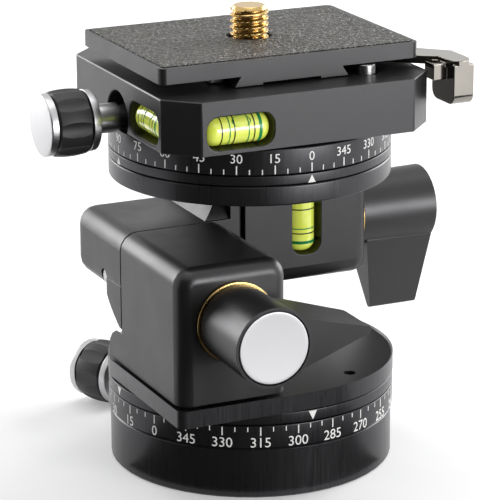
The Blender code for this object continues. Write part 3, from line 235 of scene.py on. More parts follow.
def makeVialFluid():
    # fluorescent spirit in clear acrylic that shines like glass; its emission is a painted glow of its
    # own colour, standing in for the fluorescence, and it glows whether lit or not
    material, tree, shader = startMaterial("vialFluid", {
        "Roughness": 0.12, "IOR": 1.49, "Coat Weight": 1.0, "Coat Roughness": 0.03,
        "Emission Color": vialLook["glow"], "Emission Strength": vialLook["paintedGlowStrength"]})
    swirl = addNode(tree, "ShaderNodeTexNoise", None, {
        "Vector": objectPlace(tree), "Scale": perMetre(vialLook["swirlMm"]), "Detail": 1})
    colour = tint(tree, swirl.outputs["Fac"], vialLook["fluid"], vialLook["fluidPale"])
    tree.links.new(colour, shader.inputs["Base Color"])
    return material


inkLook = {"vialGreen": "#1d8f4e", "vialBlack": "#14160f", "filled": "#e9e9e6", "printRough": 0.3,
           "filledRough": 0.6, "mottleMm": 0.4, "mottleShare": 0.93}


def makeInk(name, hexText, rough):
    # printed or filled ink: flat colour with the faint mottle of a screen print
    material, tree, shader = startMaterial(name, {"Roughness": rough})
    mottle = addNode(tree, "ShaderNodeTexNoise", None, {
        "Vector": objectPlace(tree), "Scale": perMetre(inkLook["mottleMm"]), "Detail": 1})
    channels = [int(int(hexText[i:i + 2], 16) * inkLook["mottleShare"]) for i in (1, 3, 5)]
    darker = "#" + "".join(f"{channel:02x}" for channel in channels)
    tree.links.new(tint(tree, mottle.outputs["Fac"], darker, hexText), shader.inputs["Base Color"])
    return material


materials = {
    "blasted": makeBlastedAnodised(),
    "turned": makeTurnedAnodised(),
    "pad": makeLeatherGrainRubber(),
    "grip": makeMouldedRubber(),
    "fluid": makeVialFluid(),
    # the green ink is the plugs' own colour, and also paints the vials' inner reflection rings and the
    # bubbles' edges
    "vialGreen": makeInk("vialGreenInkAndPaintedReflection", inkLook["vialGreen"], inkLook["printRough"]),
    "vialBlack": makeInk("vialBlackInk", inkLook["vialBlack"], inkLook["printRough"]),
    "marks": makeInk("whiteFilledEngraving", inkLook["filled"], inkLook["filledRough"]),
}
materials.update({name: makeBareMetal(name, look) for name, look in bareMetals.items()})
print("materials made:", len(materials))


# Shape helpers: every new piece is a grid of points worked out as whole arrays

mergeMm = 0.0005


def meshFromGrid(name, grid, around=True):
    # grid is rows x columns x 3; neighbouring rows and columns are joined, and the columns close on
    # themselves where around is true
    rows, columns = grid.shape[:2]
    index = np.arange(rows * columns).reshape(rows, columns)
    if around:
        index = np.concatenate([index, index[:, :1]], axis=1)
    quads = np.stack([index[:-1, :-1], index[:-1, 1:], index[1:, 1:], index[1:, :-1]], axis=-1)
    mesh = bpy.data.meshes.new(name)
    mesh.from_pydata(grid.reshape(-1, 3).tolist(), [], quads.reshape(-1, 4).tolist())
    return mesh


def finishMesh(mesh, sharpDegrees=32):
    # seams and poles are merged, normals turned outwards, and curved parts shaded smooth
    work = bmesh.new()
    work.from_mesh(mesh)
    bmesh.ops.remove_doubles(work, verts=work.verts, dist=mergeMm * mm)
    bmesh.ops.dissolve_degenerate(work, edges=work.edges, dist=mergeMm * mm)
    bmesh.ops.recalc_face_normals(work, faces=work.faces)
    work.to_mesh(mesh)
    work.free()
    mesh.shade_smooth()
    mesh.set_sharp_from_angle(angle=math.radians(sharpDegrees))


def addPiece(name, mesh, material, body, nodes=()):
    piece = bpy.data.objects.new(name, mesh)
    bpy.context.scene.collection.objects.link(piece)
    mesh.materials.clear()
    mesh.materials.append(materials[material])
    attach(piece, body)
    if nodes:
        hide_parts(*nodes)
    return piece


def roundedProfile(corners, steps=5):
    # corners are (radius, height, fillet) in mm; a fillet swaps its corner C for the curve
    # (1 - t)^2 A + 2 t (1 - t) C + t^2 B, where A and B lie one fillet away along its edges
    points = np.array([corner[:2] for corner in corners])
    path = []
    for i, corner in enumerate(corners):
        size = corner[2] if len(corner) > 2 else 0
        if size == 0:
            path.append(points[i][None])
            continue
        before = points[i - 1] - points[i]
        after = points[(i + 1) % len(points)] - points[i]
        start = points[i] + before / np.linalg.norm(before) * size
        end = points[i] + after / np.linalg.norm(after) * size
        t = np.linspace(0, 1, steps)[:, None]
        path.append((1 - t) ** 2 * start + 2 * t * (1 - t) * points[i] + t ** 2 * end)
    return np.concatenate(path)


def axisFrame(direction):
    # two directions square to the axis and to each other
    direction = np.array(direction, float)
    direction /= np.linalg.norm(direction)
    first = np.cross(direction, zAxis) if abs(direction[2]) < 0.9 else np.array([1.0, 0.0, 0.0])
    first /= np.linalg.norm(first)
    return direction, first, np.cross(direction, first)


def latheGrid(profile, place, direction, sides, radiusOf=None):
    # the point at turn a and profile place (r, h) is
    # place + h * axis + r * (cos a * first + sin a * second); radiusOf may change r by turn and height
    axis, first, second = axisFrame(direction)
    turn = np.linspace(0, fullTurn, sides, endpoint=False)[None, :]
    radius = np.repeat(profile[:, :1], sides, axis=1)
    height = np.repeat(profile[:, 1:2], sides, axis=1)
    if radiusOf is not None:
        radius = radiusOf(radius, height, turn)
    out = np.cos(turn)[..., None] * first + np.sin(turn)[..., None] * second
    return np.array(place) * mm + (height[..., None] * axis + radius[..., None] * out) * mm


def latheMesh(name, corners, place=(0, 0, 0), direction=(0, 0, 1), sides=128, radiusOf=None):
    # a closed profile comes back to its first point, one that ends on the axis closes at the poles
    profile = roundedProfile(corners) if isinstance(corners, list) else corners
    if profile[0, 0] > 0:
        profile = np.concatenate([profile, profile[:1]])
    mesh = meshFromGrid(name, latheGrid(profile, place, direction, sides, radiusOf))
    finishMesh(mesh)
    return mesh


def addTurned(name, corners, place, direction, material, body, nodes=(), **more):
    # a piece turned about an axis; more goes to latheMesh
    addPiece(name, latheMesh(name, corners, place, direction, **more), material, body, nodes)


def knobAxis(degrees):
    return (math.cos(math.radians(degrees)), math.sin(math.radians(degrees)), 0)


def nodeBox(node):
    low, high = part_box(node)
    return np.array(low) / mm, np.array(high) / mm


refineLook = {"mergeMm": 0.002, "flatDegrees": 0.6, "sharpDegrees": 30, "edgeDegrees": 34, "segments": 3}


def refineNode(node, material, body, edgeMm, name):
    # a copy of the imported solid: its triangles merged into flat faces, its edges broken by edgeMm,
    # and its flat faces kept flat by weighting the normals
    look = refineLook
    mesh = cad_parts[node].data.copy()
    mesh.name = name
    work = bmesh.new()
    work.from_mesh(mesh)
    bmesh.ops.remove_doubles(work, verts=work.verts, dist=look["mergeMm"] * mm)
    bmesh.ops.dissolve_limit(work, angle_limit=math.radians(look["flatDegrees"]), verts=work.verts,
                             edges=work.edges)
    work.to_mesh(mesh)
    work.free()
    mesh.shade_smooth()
    mesh.set_sharp_from_angle(angle=math.radians(look["sharpDegrees"]))
    piece = addPiece(name, mesh, material, body, [node])
    edge = piece.modifiers.new("broken edges", "BEVEL")
    edge.width = edgeMm * mm
    edge.segments = look["segments"]
    edge.limit_method = "ANGLE"
    edge.angle_limit = math.radians(look["edgeDegrees"])
    edge.harden_normals = True
    edge.miter_outer = "MITER_ARC"
    weight = piece.modifiers.new("flat faces stay flat", "WEIGHTED_NORMAL")
    weight.keep_sharp = True


# Blocks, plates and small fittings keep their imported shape

refinedNodes = {
    "base": {"base_disc": ("turned", 0.3, "footDisc"),
             "tripod_bush": ("groundSteel", 0.15, "tripodBush"),
             "base_brake_pin": ("polishedBrass", 0.1, "footBrakePin")},
    "platform": {"platform_spindle": ("groundSteel", 0.2, "platformSpindle"),
                 "front_housing": ("blasted", 0.25, "frontTiltHousing")},
    "cross": {"cross_body": ("blasted", 0.25, "crossBody")},
    "tilt_head": {"upper_housing": ("blasted", 0.25, "upperTiltHousing"),
                  "top_spindle": ("groundSteel", 0.2, "topSpindle")},
    "roll_lever": {"roll_lever": ("blasted", 0.5, "rollLockLever")},
    "pitch_lever": {"pitch_lever": ("blasted", 0.5, "pitchLockLever")},
    "clamp": {"clamp_body": ("blasted", 0.35, "clampBody"),
              "fixed_jaw": ("turned", 0.15, "fixedJaw"),
              "top_brake_pin": ("polishedBrass", 0.1, "clampBrakePin")},
    "moving_jaw": {"moving_jaw": ("turned", 0.15, "movingJaw")},
    "clamp_lever": {"clamp_lever": ("polishedChrome", 0.5, "clampLever")},
    "plate": {"quick_plate": ("blasted", 0.35, "quickPlate"),
              "plate_pad": ("pad", 0.15, "platePad")},
}


def addRefinedNodes():
    for body, nodes in refinedNodes.items():
        for node, (material, edge, name) in nodes.items():
            refineNode(node, material, body, edge, name)


# Flat discs and rings of the turned stack: body, piece, rounding of the rim, bore

stackRings = {
    "base_scale_ring": ("base", "footDegreeRing", 0.25, 15.2),
    "platform_index_ring": ("platform", "platformIndexRing", 0.2, 15.2),
    "top_disc": ("tilt_head", "topDisc", 0.45, 9.3),
    "top_index_ring": ("tilt_head", "topIndexRing", 0.2, 12.3),
    "top_scale_ring": ("clamp", "topDegreeRing", 0.25, 12.3),
}
boreEdge = 0.1


def addStackRings():
    # each is a flat ring between its packed heights, its rims rounded over
    for node, (body, name, fillet, bore) in stackRings.items():
        low, high = nodeBox(node)
        radius = (high[0] - low[0]) / 2
        corners = [(bore, low[2], boreEdge), (radius, low[2], fillet), (radius, high[2], fillet),
                   (bore, high[2], boreEdge)]
        addTurned(name, corners, (0, 0, 0), zAxis, "turned", body, [node], sides=256)


# Platform: a disc whose front left quarter is filled out to a rounded square corner

platformLook = {"radius": 36.0, "side": 35.2, "corner": 2.0, "edge": 0.45, "holeR": 1.5,
                "hole": (14.7, -26.5)}


def platformOutline():
    # (x, y) round the rim, radius * (cos a, sin a): an arc from the front, anticlockwise to the left
    # side, then the corner's own arc
    look = platformLook
    stop = np.pi / 2 + math.asin(look["side"] / look["radius"])
    turns = np.linspace(-np.pi / 2, stop, 220)
    disc = look["radius"] * np.stack([np.cos(turns), np.sin(turns)], axis=1)
    middle = np.array([look["corner"] - look["side"], look["corner"] - look["radius"]])
    turns = np.linspace(np.pi, 1.5 * np.pi, 14)
    corner = middle + look["corner"] * np.stack([np.cos(turns), np.sin(turns)], axis=1)
    return np.concatenate([disc, corner])


def pressOutline(outline, inset):
    # each point moves inwards by inset, square to the line between its neighbours
    along = np.roll(outline, -1, axis=0) - np.roll(outline, 1, axis=0)
    along /= np.linalg.norm(along, axis=1)[:, None]
    return outline + inset * np.stack([-along[:, 1], along[:, 0]], axis=1)


def drilled(mesh, cutter):
    # the mesh less the cutter, worked out at once so that no helper stays in the scene
    holders = [bpy.data.objects.new("drilling", item) for item in (mesh, cutter)]
    for holder in holders:
        bpy.context.scene.collection.objects.link(holder)
    cut = holders[0].modifiers.new("drill", "BOOLEAN")
    cut.operation, cut.solver, cut.object = "DIFFERENCE", "EXACT", holders[1]
    graph = bpy.context.evaluated_depsgraph_get()
    made = bpy.data.meshes.new_from_object(holders[0].evaluated_get(graph))
    for holder in holders:
        bpy.data.objects.remove(holder)
    return made


def addPlatform():
    # the outline, pressed in by edge * (1 - sin a) at the height edge * (1 - cos a) from each face,
    # is closed at a point in the middle of both faces, and the spare hole is drilled through
    look = platformLook
    low, high = nodeBox("platform_plate")
    outline = platformOutline()
    quarter = np.linspace(0, np.pi / 2, 5)
    insets = look["edge"] * (1 - np.sin(quarter))
    drops = look["edge"] * (1 - np.cos(quarter))
    rings = [(inset, low[2] + drop) for inset, drop in zip(insets, drops[::-1])]
    rings += [(inset, high[2] - drop) for inset, drop in zip(insets[::-1], drops)]
    rows = [np.zeros((len(outline), 3)) + (0, 0, low[2])]
    for inset, level in rings:
        flat = pressOutline(outline, inset)
        rows.append(np.concatenate([flat, np.full((len(flat), 1), level)], axis=1))
    rows.append(np.zeros((len(outline), 3)) + (0, 0, high[2]))
    mesh = meshFromGrid("platformPlate", np.array(rows) * mm)
    finishMesh(mesh)
    below, above = low[2] - 1, high[2] + 1
    corners = [(0, below), (look["holeR"], below), (look["holeR"], above), (0, above)]
    mesh = drilled(mesh, latheMesh("drill", corners, (*look["hole"], 0), sides=32))
    finishMesh(mesh)
    addPiece("platformPlate", mesh, "turned", "platform", ["platform_plate"])


# Washers, caps, axles and small screws

# where each tilt axis leaves its housing, and the body that carries its washer
leverAxes = {"roll": {"place": (-20.2, -34.5, 46.9), "out": (0, -1, 0), "carrier": "platform"},
             "pitch": {"place": (34.3, 15.9, 54.3), "out": (1, 0, 0), "carrier": "tilt_head"}}
washerLook = {"radius": 10.0, "bore": 5.3, "foot": 0.3, "top": 1.2, "fillet": 0.25}
capLook = {"radius": 8.8, "foot": 20.2, "top": 22.2, "rim": 0.3, "lip": 1.0, "dish": 0.12}


def addWashersAndCaps():
    # brass thrust washers between the blocks and the levers, and the pale discs that close the levers
    look, cap = washerLook, capLook
    washer = [(look["bore"], look["foot"], 0), (look["radius"], look["foot"], look["fillet"]),
              (look["radius"], look["top"], look["fillet"]), (look["bore"], look["top"], 0)]
    disc = [(0, cap["foot"]), (cap["radius"], cap["foot"], 0), (cap["radius"], cap["top"], cap["rim"]),
            (cap["radius"] - cap["lip"], cap["top"] - cap["dish"] / 2, 0),
            (0, cap["top"] - cap["dish"])]
    for side, axis in leverAxes.items():
        addTurned(side + "ThrustWasher", washer, axis["place"], axis["out"], "polishedBrass",
                  axis["carrier"], [side + "_washer"])
        addTurned(side + "LeverCap", disc, axis["place"], axis["out"], "blastedAluminium",
                  side + "_lever", [side + "_lever_cap"])


# body, material, radius, rounding of the ends
roundNodes = {
    "roll_axle": ("cross", "groundSteel", 5.0, 0.5),
    "pitch_axle": ("cross", "groundSteel", 5.0, 0.5),
    "roll_set_screw": ("cross", "turnedAluminium", 1.5, 0.25),
    "pitch_set_screw": ("cross", "turnedAluminium", 1.5, 0.25),
    "stop_pin": ("clamp", "groundSteel", 2.5, 0.4),
    "lever_pivot": ("clamp", "groundSteel", 2.5, 0.4),
    "upper_knob_screw": ("upper_knob", "groundSteel", 2.0, 0.2),
}


def addRoundNodes():
    # plain round bars, each along the longest side of its packed box
    for node, (body, material, radius, edge) in roundNodes.items():
        low, high = nodeBox(node)
        along = int(np.argmax(high - low))
        half = (high - low)[along] / 2
        corners = [(0, -half), (radius, -half, edge), (radius, half, edge), (0, half)]
        name = "".join(word.title() for word in node.split("_"))
        name = name[0].lower() + name[1:]
        addTurned(name, corners, (low + high) / 2, np.eye(3)[along], material, body, [node], sides=64)


screwLook = {"headR": 3.0, "shankR": 1.7, "headH": 2.4, "socketR": 1.45, "socketDeep": 1.4,
             "headEdge": 0.2, "tipEdge": 0.3}
# node stem, body, count, which way the screw is driven
capScrews = (("housing_screw", "platform", 4, 1), ("disc_screw", "tilt_head", 3, -1))


def hexagonRadius(radius, height, turn):
    # inside the socket r = flat distance / cos(a), with a the turn from the nearest flat
    flat = (turn + fullTurn / 12) % (fullTurn / 6) - fullTurn / 12
    hexagon = screwLook["socketR"] / np.cos(flat)
    return np.where(radius == screwLook["socketR"], hexagon, radius)


def addCapScrews():
    # socket head screws: up into the front housing from under the plate, down into the upper housing
    look = screwLook
    for stem, body, count, toward in capScrews:
        for number in range(1, count + 1):
            node = f"{stem}_{number}"
            low, high = nodeBox(node)
            place = (low + high) / 2
            length = high[2] - low[2]
            place[2] = low[2] if toward > 0 else high[2]
            corners = [(0, look["socketDeep"]), (look["socketR"], look["socketDeep"]),
                       (look["socketR"], 0), (look["headR"], 0, look["headEdge"]),
                       (look["headR"], look["headH"]), (look["shankR"], look["headH"]),
                       (look["shankR"], length, look["tipEdge"]), (0, length)]
            addTurned(stem.split("_")[0] + f"Screw{number}", corners, place, (0, 0, toward),
                      "groundSteel", body, [node], sides=48, radiusOf=hexagonRadius)


# Knobs

knobLook = {"ringR": 7.6, "endR": 7.35, "gripEnd": 7.75, "gripR": 8.15, "flutes": 8, "fluteR": 4.2,
            "floorR": 7.55, "ring": 2.0, "grip": 8.3, "gap": 0.3, "stemR": 3.6, "stemIn": 2.8,
            "bore": 5.3, "sunk": 5.5, "edge": 0.3, "ringEdge": 0.2, "endEdge": 0.45, "mouth": 0.35,
            "faceLip": 0.6, "faceProud": 0.04}
knobs = {
    "lower_knob": {"body": "lower_knob", "angle": 113.4, "level": 8.5, "inner": 45.0, "seat": 35.55},
    "upper_knob": {"body": "upper_knob", "angle": 180.0, "level": 90.67, "inner": 42.0,
                   "seat": 35.17},
}


def fluteRadius(start):
    # the grip is a barrel, end + (middle - end) * (1 - s * s) with s from -1 to 1 along it, and each
    # flute is a round groove beside it, c * cos(a) - sqrt(f * f - (c * sin(a))^2); the smaller shows
    def radiusOf(radius, height, turn):
        look = knobLook
        share = 2 * (height - start) / look["grip"] - 1
        barrel = look["gripEnd"] + (look["gripR"] - look["gripEnd"]) * (1 - share ** 2)
        pitch = fullTurn / look["flutes"]
        offset = (turn + pitch / 2) % pitch - pitch / 2
        centre = look["floorR"] + look["fluteR"]
        inside = look["fluteR"] ** 2 - (centre * np.sin(offset)) ** 2
        cut = centre * np.cos(offset) - np.sqrt(np.maximum(inside, 0))
        skin = np.minimum(barrel, np.where(inside > 0, cut, np.inf))
        return np.where(radius > look["bore"] + 0.1, skin - (look["gripR"] - radius), radius)
    return radiusOf


def addKnobs():
    # along the knob's axis: stem with its inner ring, fluted grip, end ring and the ring's pale face
    look = knobLook
    edge = look["edge"]
    for name, knob in knobs.items():
        out = knobAxis(knob["angle"])
        place = (0, 0, knob["level"])
        body = knob["body"]
        inner = knob["inner"]
        grip = inner + look["ring"] + look["gap"]
        gripStop = grip + look["grip"]
        cap = gripStop + look["gap"]
        end = cap + look["ring"]
        shoulder = knob["seat"] + look["gap"]
        stemEnd = knob["seat"] - look["sunk"] + look["gap"]
        stem = name.split("_")[0] + "Knob"
        core = [(0, stemEnd), (look["stemIn"], stemEnd), (look["stemIn"], shoulder, 0),
                (look["stemR"], shoulder, edge), (look["stemR"], inner, 0),
                (look["endR"], inner, edge), (look["ringR"], inner + look["ring"], look["ringEdge"]),
                (look["bore"] - edge, inner + look["ring"], 0), (look["bore"] - edge, cap - edge),
                (0, cap - edge)]
        addTurned(stem + "Stem", core, place, out, "turnedAluminium", body, [name + "_core"])
        rows = np.linspace(grip + look["mouth"], gripStop - look["mouth"], 25)
        skin = [(look["gripR"] - edge, grip)] + [(look["gripR"], row) for row in rows]
        skin += [(look["gripR"] - edge, gripStop), (look["bore"], gripStop), (look["bore"], grip)]
        addTurned(stem + "Grip", np.array(skin), place, out, "grip", body, [name + "_grip"],
                  sides=256, radiusOf=fluteRadius(grip))
        ring = [(0, cap), (look["ringR"], cap, look["ringEdge"]),
                (look["ringR"], end, look["endEdge"]), (look["endR"] - look["faceLip"], end, 0),
                (0, end)]
        addTurned(stem + "EndRing", ring, place, out, "turnedAluminium", body, [name + "_cap"])
        rim = look["endR"] - look["faceLip"] + 0.05
        face = [(0, end), (rim, end), (rim - look["ringEdge"], end + look["faceProud"]),
                (0, end + look["faceProud"])]
        addTurned(stem + "EndFace", face, place, out, "blastedAluminium", body)


# Camera screw with its thread

threadLook = {"majorR": 4.76, "deepMm": 0.85, "pitchMm": 25.4 / 16, "tip": 0.9, "crest": 0.22,
              "stepMm": 0.08}
cameraScrewLook = {"headR": 7.0, "headH": 2.3, "chamfer": 0.3, "neckR": 4.2, "neck": 1.8}


def threadRadius(radius, height, turn):
    # r = major - depth * groove, where the groove is a triangle wave of
    # (height / pitch - turn / full turn), flattened at the crest
    look = threadLook
    phase = (height / look["pitchMm"] - turn / fullTurn) % 1
    wave = np.abs(2 * phase - 1)
    groove = np.clip((wave - look["crest"]) / (1 - 1.6 * look["crest"]), 0, 1)
    threaded = np.abs(radius - look["majorR"]) < 0.01
    return np.where(threaded, look["majorR"] - look["deepMm"] * groove, radius)


def addCameraScrew():
    # a chamfered head, a plain neck, the thread and a rounded tip
    look = cameraScrewLook
    low, high = nodeBox("camera_screw")
    head, tip = low[2], high[2]
    top = tip - threadLook["tip"]
    shoulder = head + look["headH"]
    start = shoulder + look["neck"]
    rows = np.arange(start, top, threadLook["stepMm"])
    profile = [(0, head), (look["headR"] - look["chamfer"], head),
               (look["headR"], head + look["chamfer"]), (look["headR"], shoulder),
               (look["neckR"], shoulder), (look["neckR"], start - 0.1)]
    profile += [(threadLook["majorR"], row) for row in rows]
    profile += [(4.3, top + 0.1), (3.86, tip - 0.12), (3.7, tip), (0, tip)]
    addTurned("cameraScrew", np.array(profile), (0, 0, 0), zAxis, "polishedBrass", "camera_screw",
              ["camera_screw"], sides=144, radiusOf=threadRadius)


lowerScrewLook = {"radius": 2.0, "start": 21.4, "pastSeat": 0.5, "edge": 0.2}


def addLowerKnobScrew():
    # a round bar along the lower knob's own slanting axis
    look, knob = lowerScrewLook, knobs["lower_knob"]
    start, end = look["start"], knob["seat"] + look["pastSeat"]
    corners = [(0, start), (look["radius"], start, look["edge"]), (look["radius"], end, look["edge"]),
               (0, end)]
    addTurned("lowerKnobScrew", corners, (0, 0, knob["level"]), knobAxis(knob["angle"]),
              "groundSteel", "lower_knob", ["lower_knob_screw"], sides=64)


# Vials: ring places along the axis are in mm from the middle

vials = {
    "front_vial": {"body": "clamp", "name": "frontVial", "axis": (1, 0, 0), "up": (0, 0, 1),
                   "black": (-4.6, -1.35, 3.75), "green": (-2.6, 2.3), "plug": 5.35, "bubble": 0.6},
    "side_vial": {"body": "clamp", "name": "sideVial", "axis": (0, -1, 0), "up": (0, 0, 1),
                  "black": (-4.6, -1.35, 3.75), "green": (-2.6, 2.3), "plug": 5.35, "bubble": 0.6},
    "upright_vial": {"body": "tilt_head", "name": "uprightVial", "axis": (0, 0, -1),
                     "up": (0, -1, 0), "black": (-2.95, 3.35, -6.1), "green": (2.1, 5.65),
                     "plug": 5.7, "bubble": None},
}
vialShape = {"radius": 3.7, "dome": 2.7, "blackWide": 0.32, "greenWide": 0.3, "plugWide": 0.8,
             "sunk": 0.05, "proud": 0.03}


def addVials():
    # a cylinder with quarter-round ends, dome * (cos a, sin a), and thin rings round it: the black rings
    # and the plug's green band are print, the other green rings a painted inner reflection
    look = vialShape
    radius, dome = look["radius"], look["dome"]
    for node, vial in vials.items():
        low, high = nodeBox(node)
        place = (low + high) / 2
        half = (high - low).max() / 2
        turns = np.linspace(0, np.pi / 2, 12)
        end = np.stack([radius - dome + dome * np.cos(turns), half - dome + dome * np.sin(turns)],
                       axis=1)
        start = end[::-1] * np.array([1, -1])
        profile = np.concatenate([[(0, -half)], start, end, [(0, half)]])
        addTurned(vial["name"], profile, place, vial["axis"], "fluid", vial["body"], [node], sides=96)
        # the green rings away from the plug are a painted reflection from inside the vial, drawn in the
        # green ink
        for ink, centres, wide in (("vialBlack", vial["black"], look["blackWide"]),
                                   ("vialGreen", vial["green"], look["greenWide"]),
                                   ("vialGreen", (vial["plug"],), look["plugWide"])):
            for count, centre in enumerate(centres):
                inner, outer = radius - look["sunk"], radius + look["proud"]
                foot, top = centre - wide / 2, centre + wide / 2
                ring = [(inner, foot), (outer, foot), (outer, top), (inner, top)]
                name = f"{vial['name']}{ink.title()}{wide * 100:.0f}Ring{count}"
                addTurned(name, ring, place, vial["axis"], ink, vial["body"], sides=96)
        if vial["bubble"] is not None:
            addBubble(vial, place, radius)


bubbleLook = {"half": 2.3, "wide": 1.5, "edge": 0.16, "tilt": 52, "sunk": 0.06}


def addBubble(vial, place, radius):
    # the bubble's edge: a closed tube round an oval that is bent onto the vial's wall,
    # axis * half * cos u, and round the wall by wide * sin u
    axis, up = np.array(vial["axis"], float), np.array(vial["up"], float)
    side = np.cross(axis, up)
    look = bubbleLook
    u = np.linspace(0, fullTurn, 64, endpoint=False)[:, None]
    v = np.linspace(0, fullTurn, 10, endpoint=False)[None, :]
    facing = math.radians(look["tilt"]) * (1 if side[1] < 0 or side[0] < 0 else -1)
    lean = facing + look["wide"] / radius * np.sin(u)
    outward = np.cos(lean)[..., None] * up + np.sin(lean)[..., None] * side
    along = (vial["bubble"] + look["half"] * np.cos(u))[..., None] * axis
    swell = look["edge"] * np.cos(v)[..., None] * outward
    spread = (look["edge"] * np.sin(v) * np.cos(u))[..., None] * axis
    grid = place + along + (radius - look["sunk"]) * outward + swell + spread
    grid = np.concatenate([grid, grid[:1]]) * mm
    mesh = meshFromGrid(vial["name"] + "BubbleEdge", grid)
    finishMesh(mesh)
    # the rim is painted in the green ink: a painted stand-in for the light bent at the bubble's edge
    addPiece(vial["name"] + "BubbleEdge", mesh, "vialGreen", vial["body"])


# White filled marks

markLook = {"proud": 0.02, "deep": 0.05, "tickWide": 0.25, "longWide": 0.3, "tickStep": 5,
            "longStep": 15}
scales = {
    "foot": {"body": "base", "radius": 35.9, "zero": 204.0, "sign": -1, "long": (16.33, 18.52),
             "short": (17.34, 18.5), "digits": (13.32, 15.8)},
    "clamp": {"body": "clamp", "radius": 35.0, "zero": -90.0, "sign": -1, "long": (81.55, 83.65),
              "short": (81.52, 82.72), "digits": (84.26, 86.43)},
}
pointers = {
    "platform": {"body": "platform", "radius": 35.9, "foot": 21.62, "tip": 19.36, "half": 1.1},
    "topIndex": {"body": "tilt_head", "radius": 35.0, "foot": 78.81, "tip": 80.68, "half": 1.0},
}
pointerAngles = (-90, 180)


def wrapFlat(flat, radius, angle):
    # a flat figure on the cylinder: turn = angle + x / radius, y is the height, and the thickness
    # goes along the radius
    turn = math.radians(angle) + flat[..., 0] / radius
    reach = radius + flat[..., 2]
    return np.stack([reach * np.cos(turn), reach * np.sin(turn), flat[..., 1]], axis=-1)


def tickGrid(wide, low, high, columns=3):
    # a box from low to high, with three columns so that it follows the curve
    x = np.linspace(-wide / 2, wide / 2, columns)
    corners = [(low, -markLook["deep"]), (high, -markLook["deep"]), (high, markLook["proud"]),
               (low, markLook["proud"])]
    return np.array([[(place, level, depth) for level, depth in corners] for place in x])


def joinGrids(name, grids):
    # closed loops swept from the first row to the last, with both ends capped
    points, faces = [], []
    start = 0
    for grid in grids:
        rows, columns = grid.shape[:2]
        index = start + np.arange(rows * columns).reshape(rows, columns)
        ring = np.concatenate([index, index[:, :1]], axis=1)
        quads = np.stack([ring[:-1, :-1], ring[:-1, 1:], ring[1:, 1:], ring[1:, :-1]], axis=-1)
        faces += quads.reshape(-1, 4).tolist() + [index[0].tolist(), index[-1][::-1].tolist()]
        points.append(grid.reshape(-1, 3))
        start += rows * columns
    mesh = bpy.data.meshes.new(name)
    mesh.from_pydata((np.concatenate(points) * mm).tolist(), [], faces)
    finishMesh(mesh)
    return mesh


def digitMesh(text, height):
    # the figure as a flat mesh, scaled to its height and centred
    curve = bpy.data.curves.new("figure", "FONT")
    curve.body = text
    curve.extrude = 0.5
    curve.resolution_u = 5
    holder = bpy.data.objects.new("figure", curve)
    bpy.context.scene.collection.objects.link(holder)
    bpy.context.view_layer.update()
    graph = bpy.context.evaluated_depsgraph_get()
    mesh = bpy.data.meshes.new_from_object(holder.evaluated_get(graph))
    bpy.data.objects.remove(holder)
    bpy.data.curves.remove(curve)
    points = np.empty(len(mesh.vertices) * 3)
    mesh.vertices.foreach_get("co", points)
    points = points.reshape(-1, 3)
    low, high = points.min(axis=0), points.max(axis=0)
    size = height / (high[1] - low[1])
    middle = (low + high) / 2
    points[:, 0] = (points[:, 0] - middle[0]) * size
    points[:, 1] = (points[:, 1] - low[1]) * size
    points[:, 2] = np.where(points[:, 2] > middle[2], markLook["proud"], -markLook["deep"])
    return mesh, points


def addFigures(name, scale):
    # plain degree numbers round the ring, one mesh for all
    points, faces = [], []
    start = 0
    low, high = scale["digits"]
    for degrees in range(0, 360, markLook["longStep"]):
        mesh, flat = digitMesh(str(degrees), high - low)
        flat[:, 1] += low
        points.append(wrapFlat(flat, scale["radius"], scale["zero"] + scale["sign"] * degrees))
        faces += [[start + index for index in polygon.vertices] for polygon in mesh.polygons]
        start += len(flat)
        bpy.data.meshes.remove(mesh)
    whole = bpy.data.meshes.new(name)
    whole.from_pydata((np.concatenate(points) * mm).tolist(), [], faces)
    finishMesh(whole)
    addPiece(name, whole, "marks", scale["body"])


def addTicks(name, scale):
    # a tick every 5 degrees, longer and wider under each number
    grids = []
    for degrees in range(0, 360, markLook["tickStep"]):
        isLong = degrees % markLook["longStep"] == 0
        low, high = scale["long"] if isLong else scale["short"]
        wide = markLook["longWide"] if isLong else markLook["tickWide"]
        angle = scale["zero"] + scale["sign"] * degrees
        grids.append(wrapFlat(tickGrid(wide, low, high), scale["radius"], angle))
    addPiece(name, joinGrids(name, grids), "marks", scale["body"])


def addPointers():
    # small triangles at the front and at the left, pointing at the degree rings: the height at x is
    # foot + (tip - foot) * (1 - |x| / half), with a sliver left at both ends so that they close
    for name, pointer in pointers.items():
        foot, tip, half = pointer["foot"], pointer["tip"], pointer["half"]
        rows = []
        for x in np.linspace(-half, half, 9):
            reach = foot + (tip - foot) * (1 - abs(x) / half) * 0.999
            low, high = sorted((foot, reach))
            high = max(high, low + 0.004)
            rows.append([(x, low, -markLook["deep"]), (x, high, -markLook["deep"]),
                         (x, high, markLook["proud"]), (x, low, markLook["proud"])])
        grids = [wrapFlat(np.array(rows), pointer["radius"], angle) for angle in pointerAngles]
        addPiece(name + "Pointers", joinGrids(name + "Pointers", grids), "marks", pointer["body"])


def addMarks():
    for name, scale in scales.items():
        addFigures(name + "DegreeFigures", scale)
        addTicks(name + "DegreeTicks", scale)
    addPointers()


# Shoulder of the pitch hub, beside the flange of the cross body

shoulderLook = {"radius": 14.94, "left": -11.2, "right": -4.4, "foot": 60.4, "top": 60.7,
                "rise": 48.0}


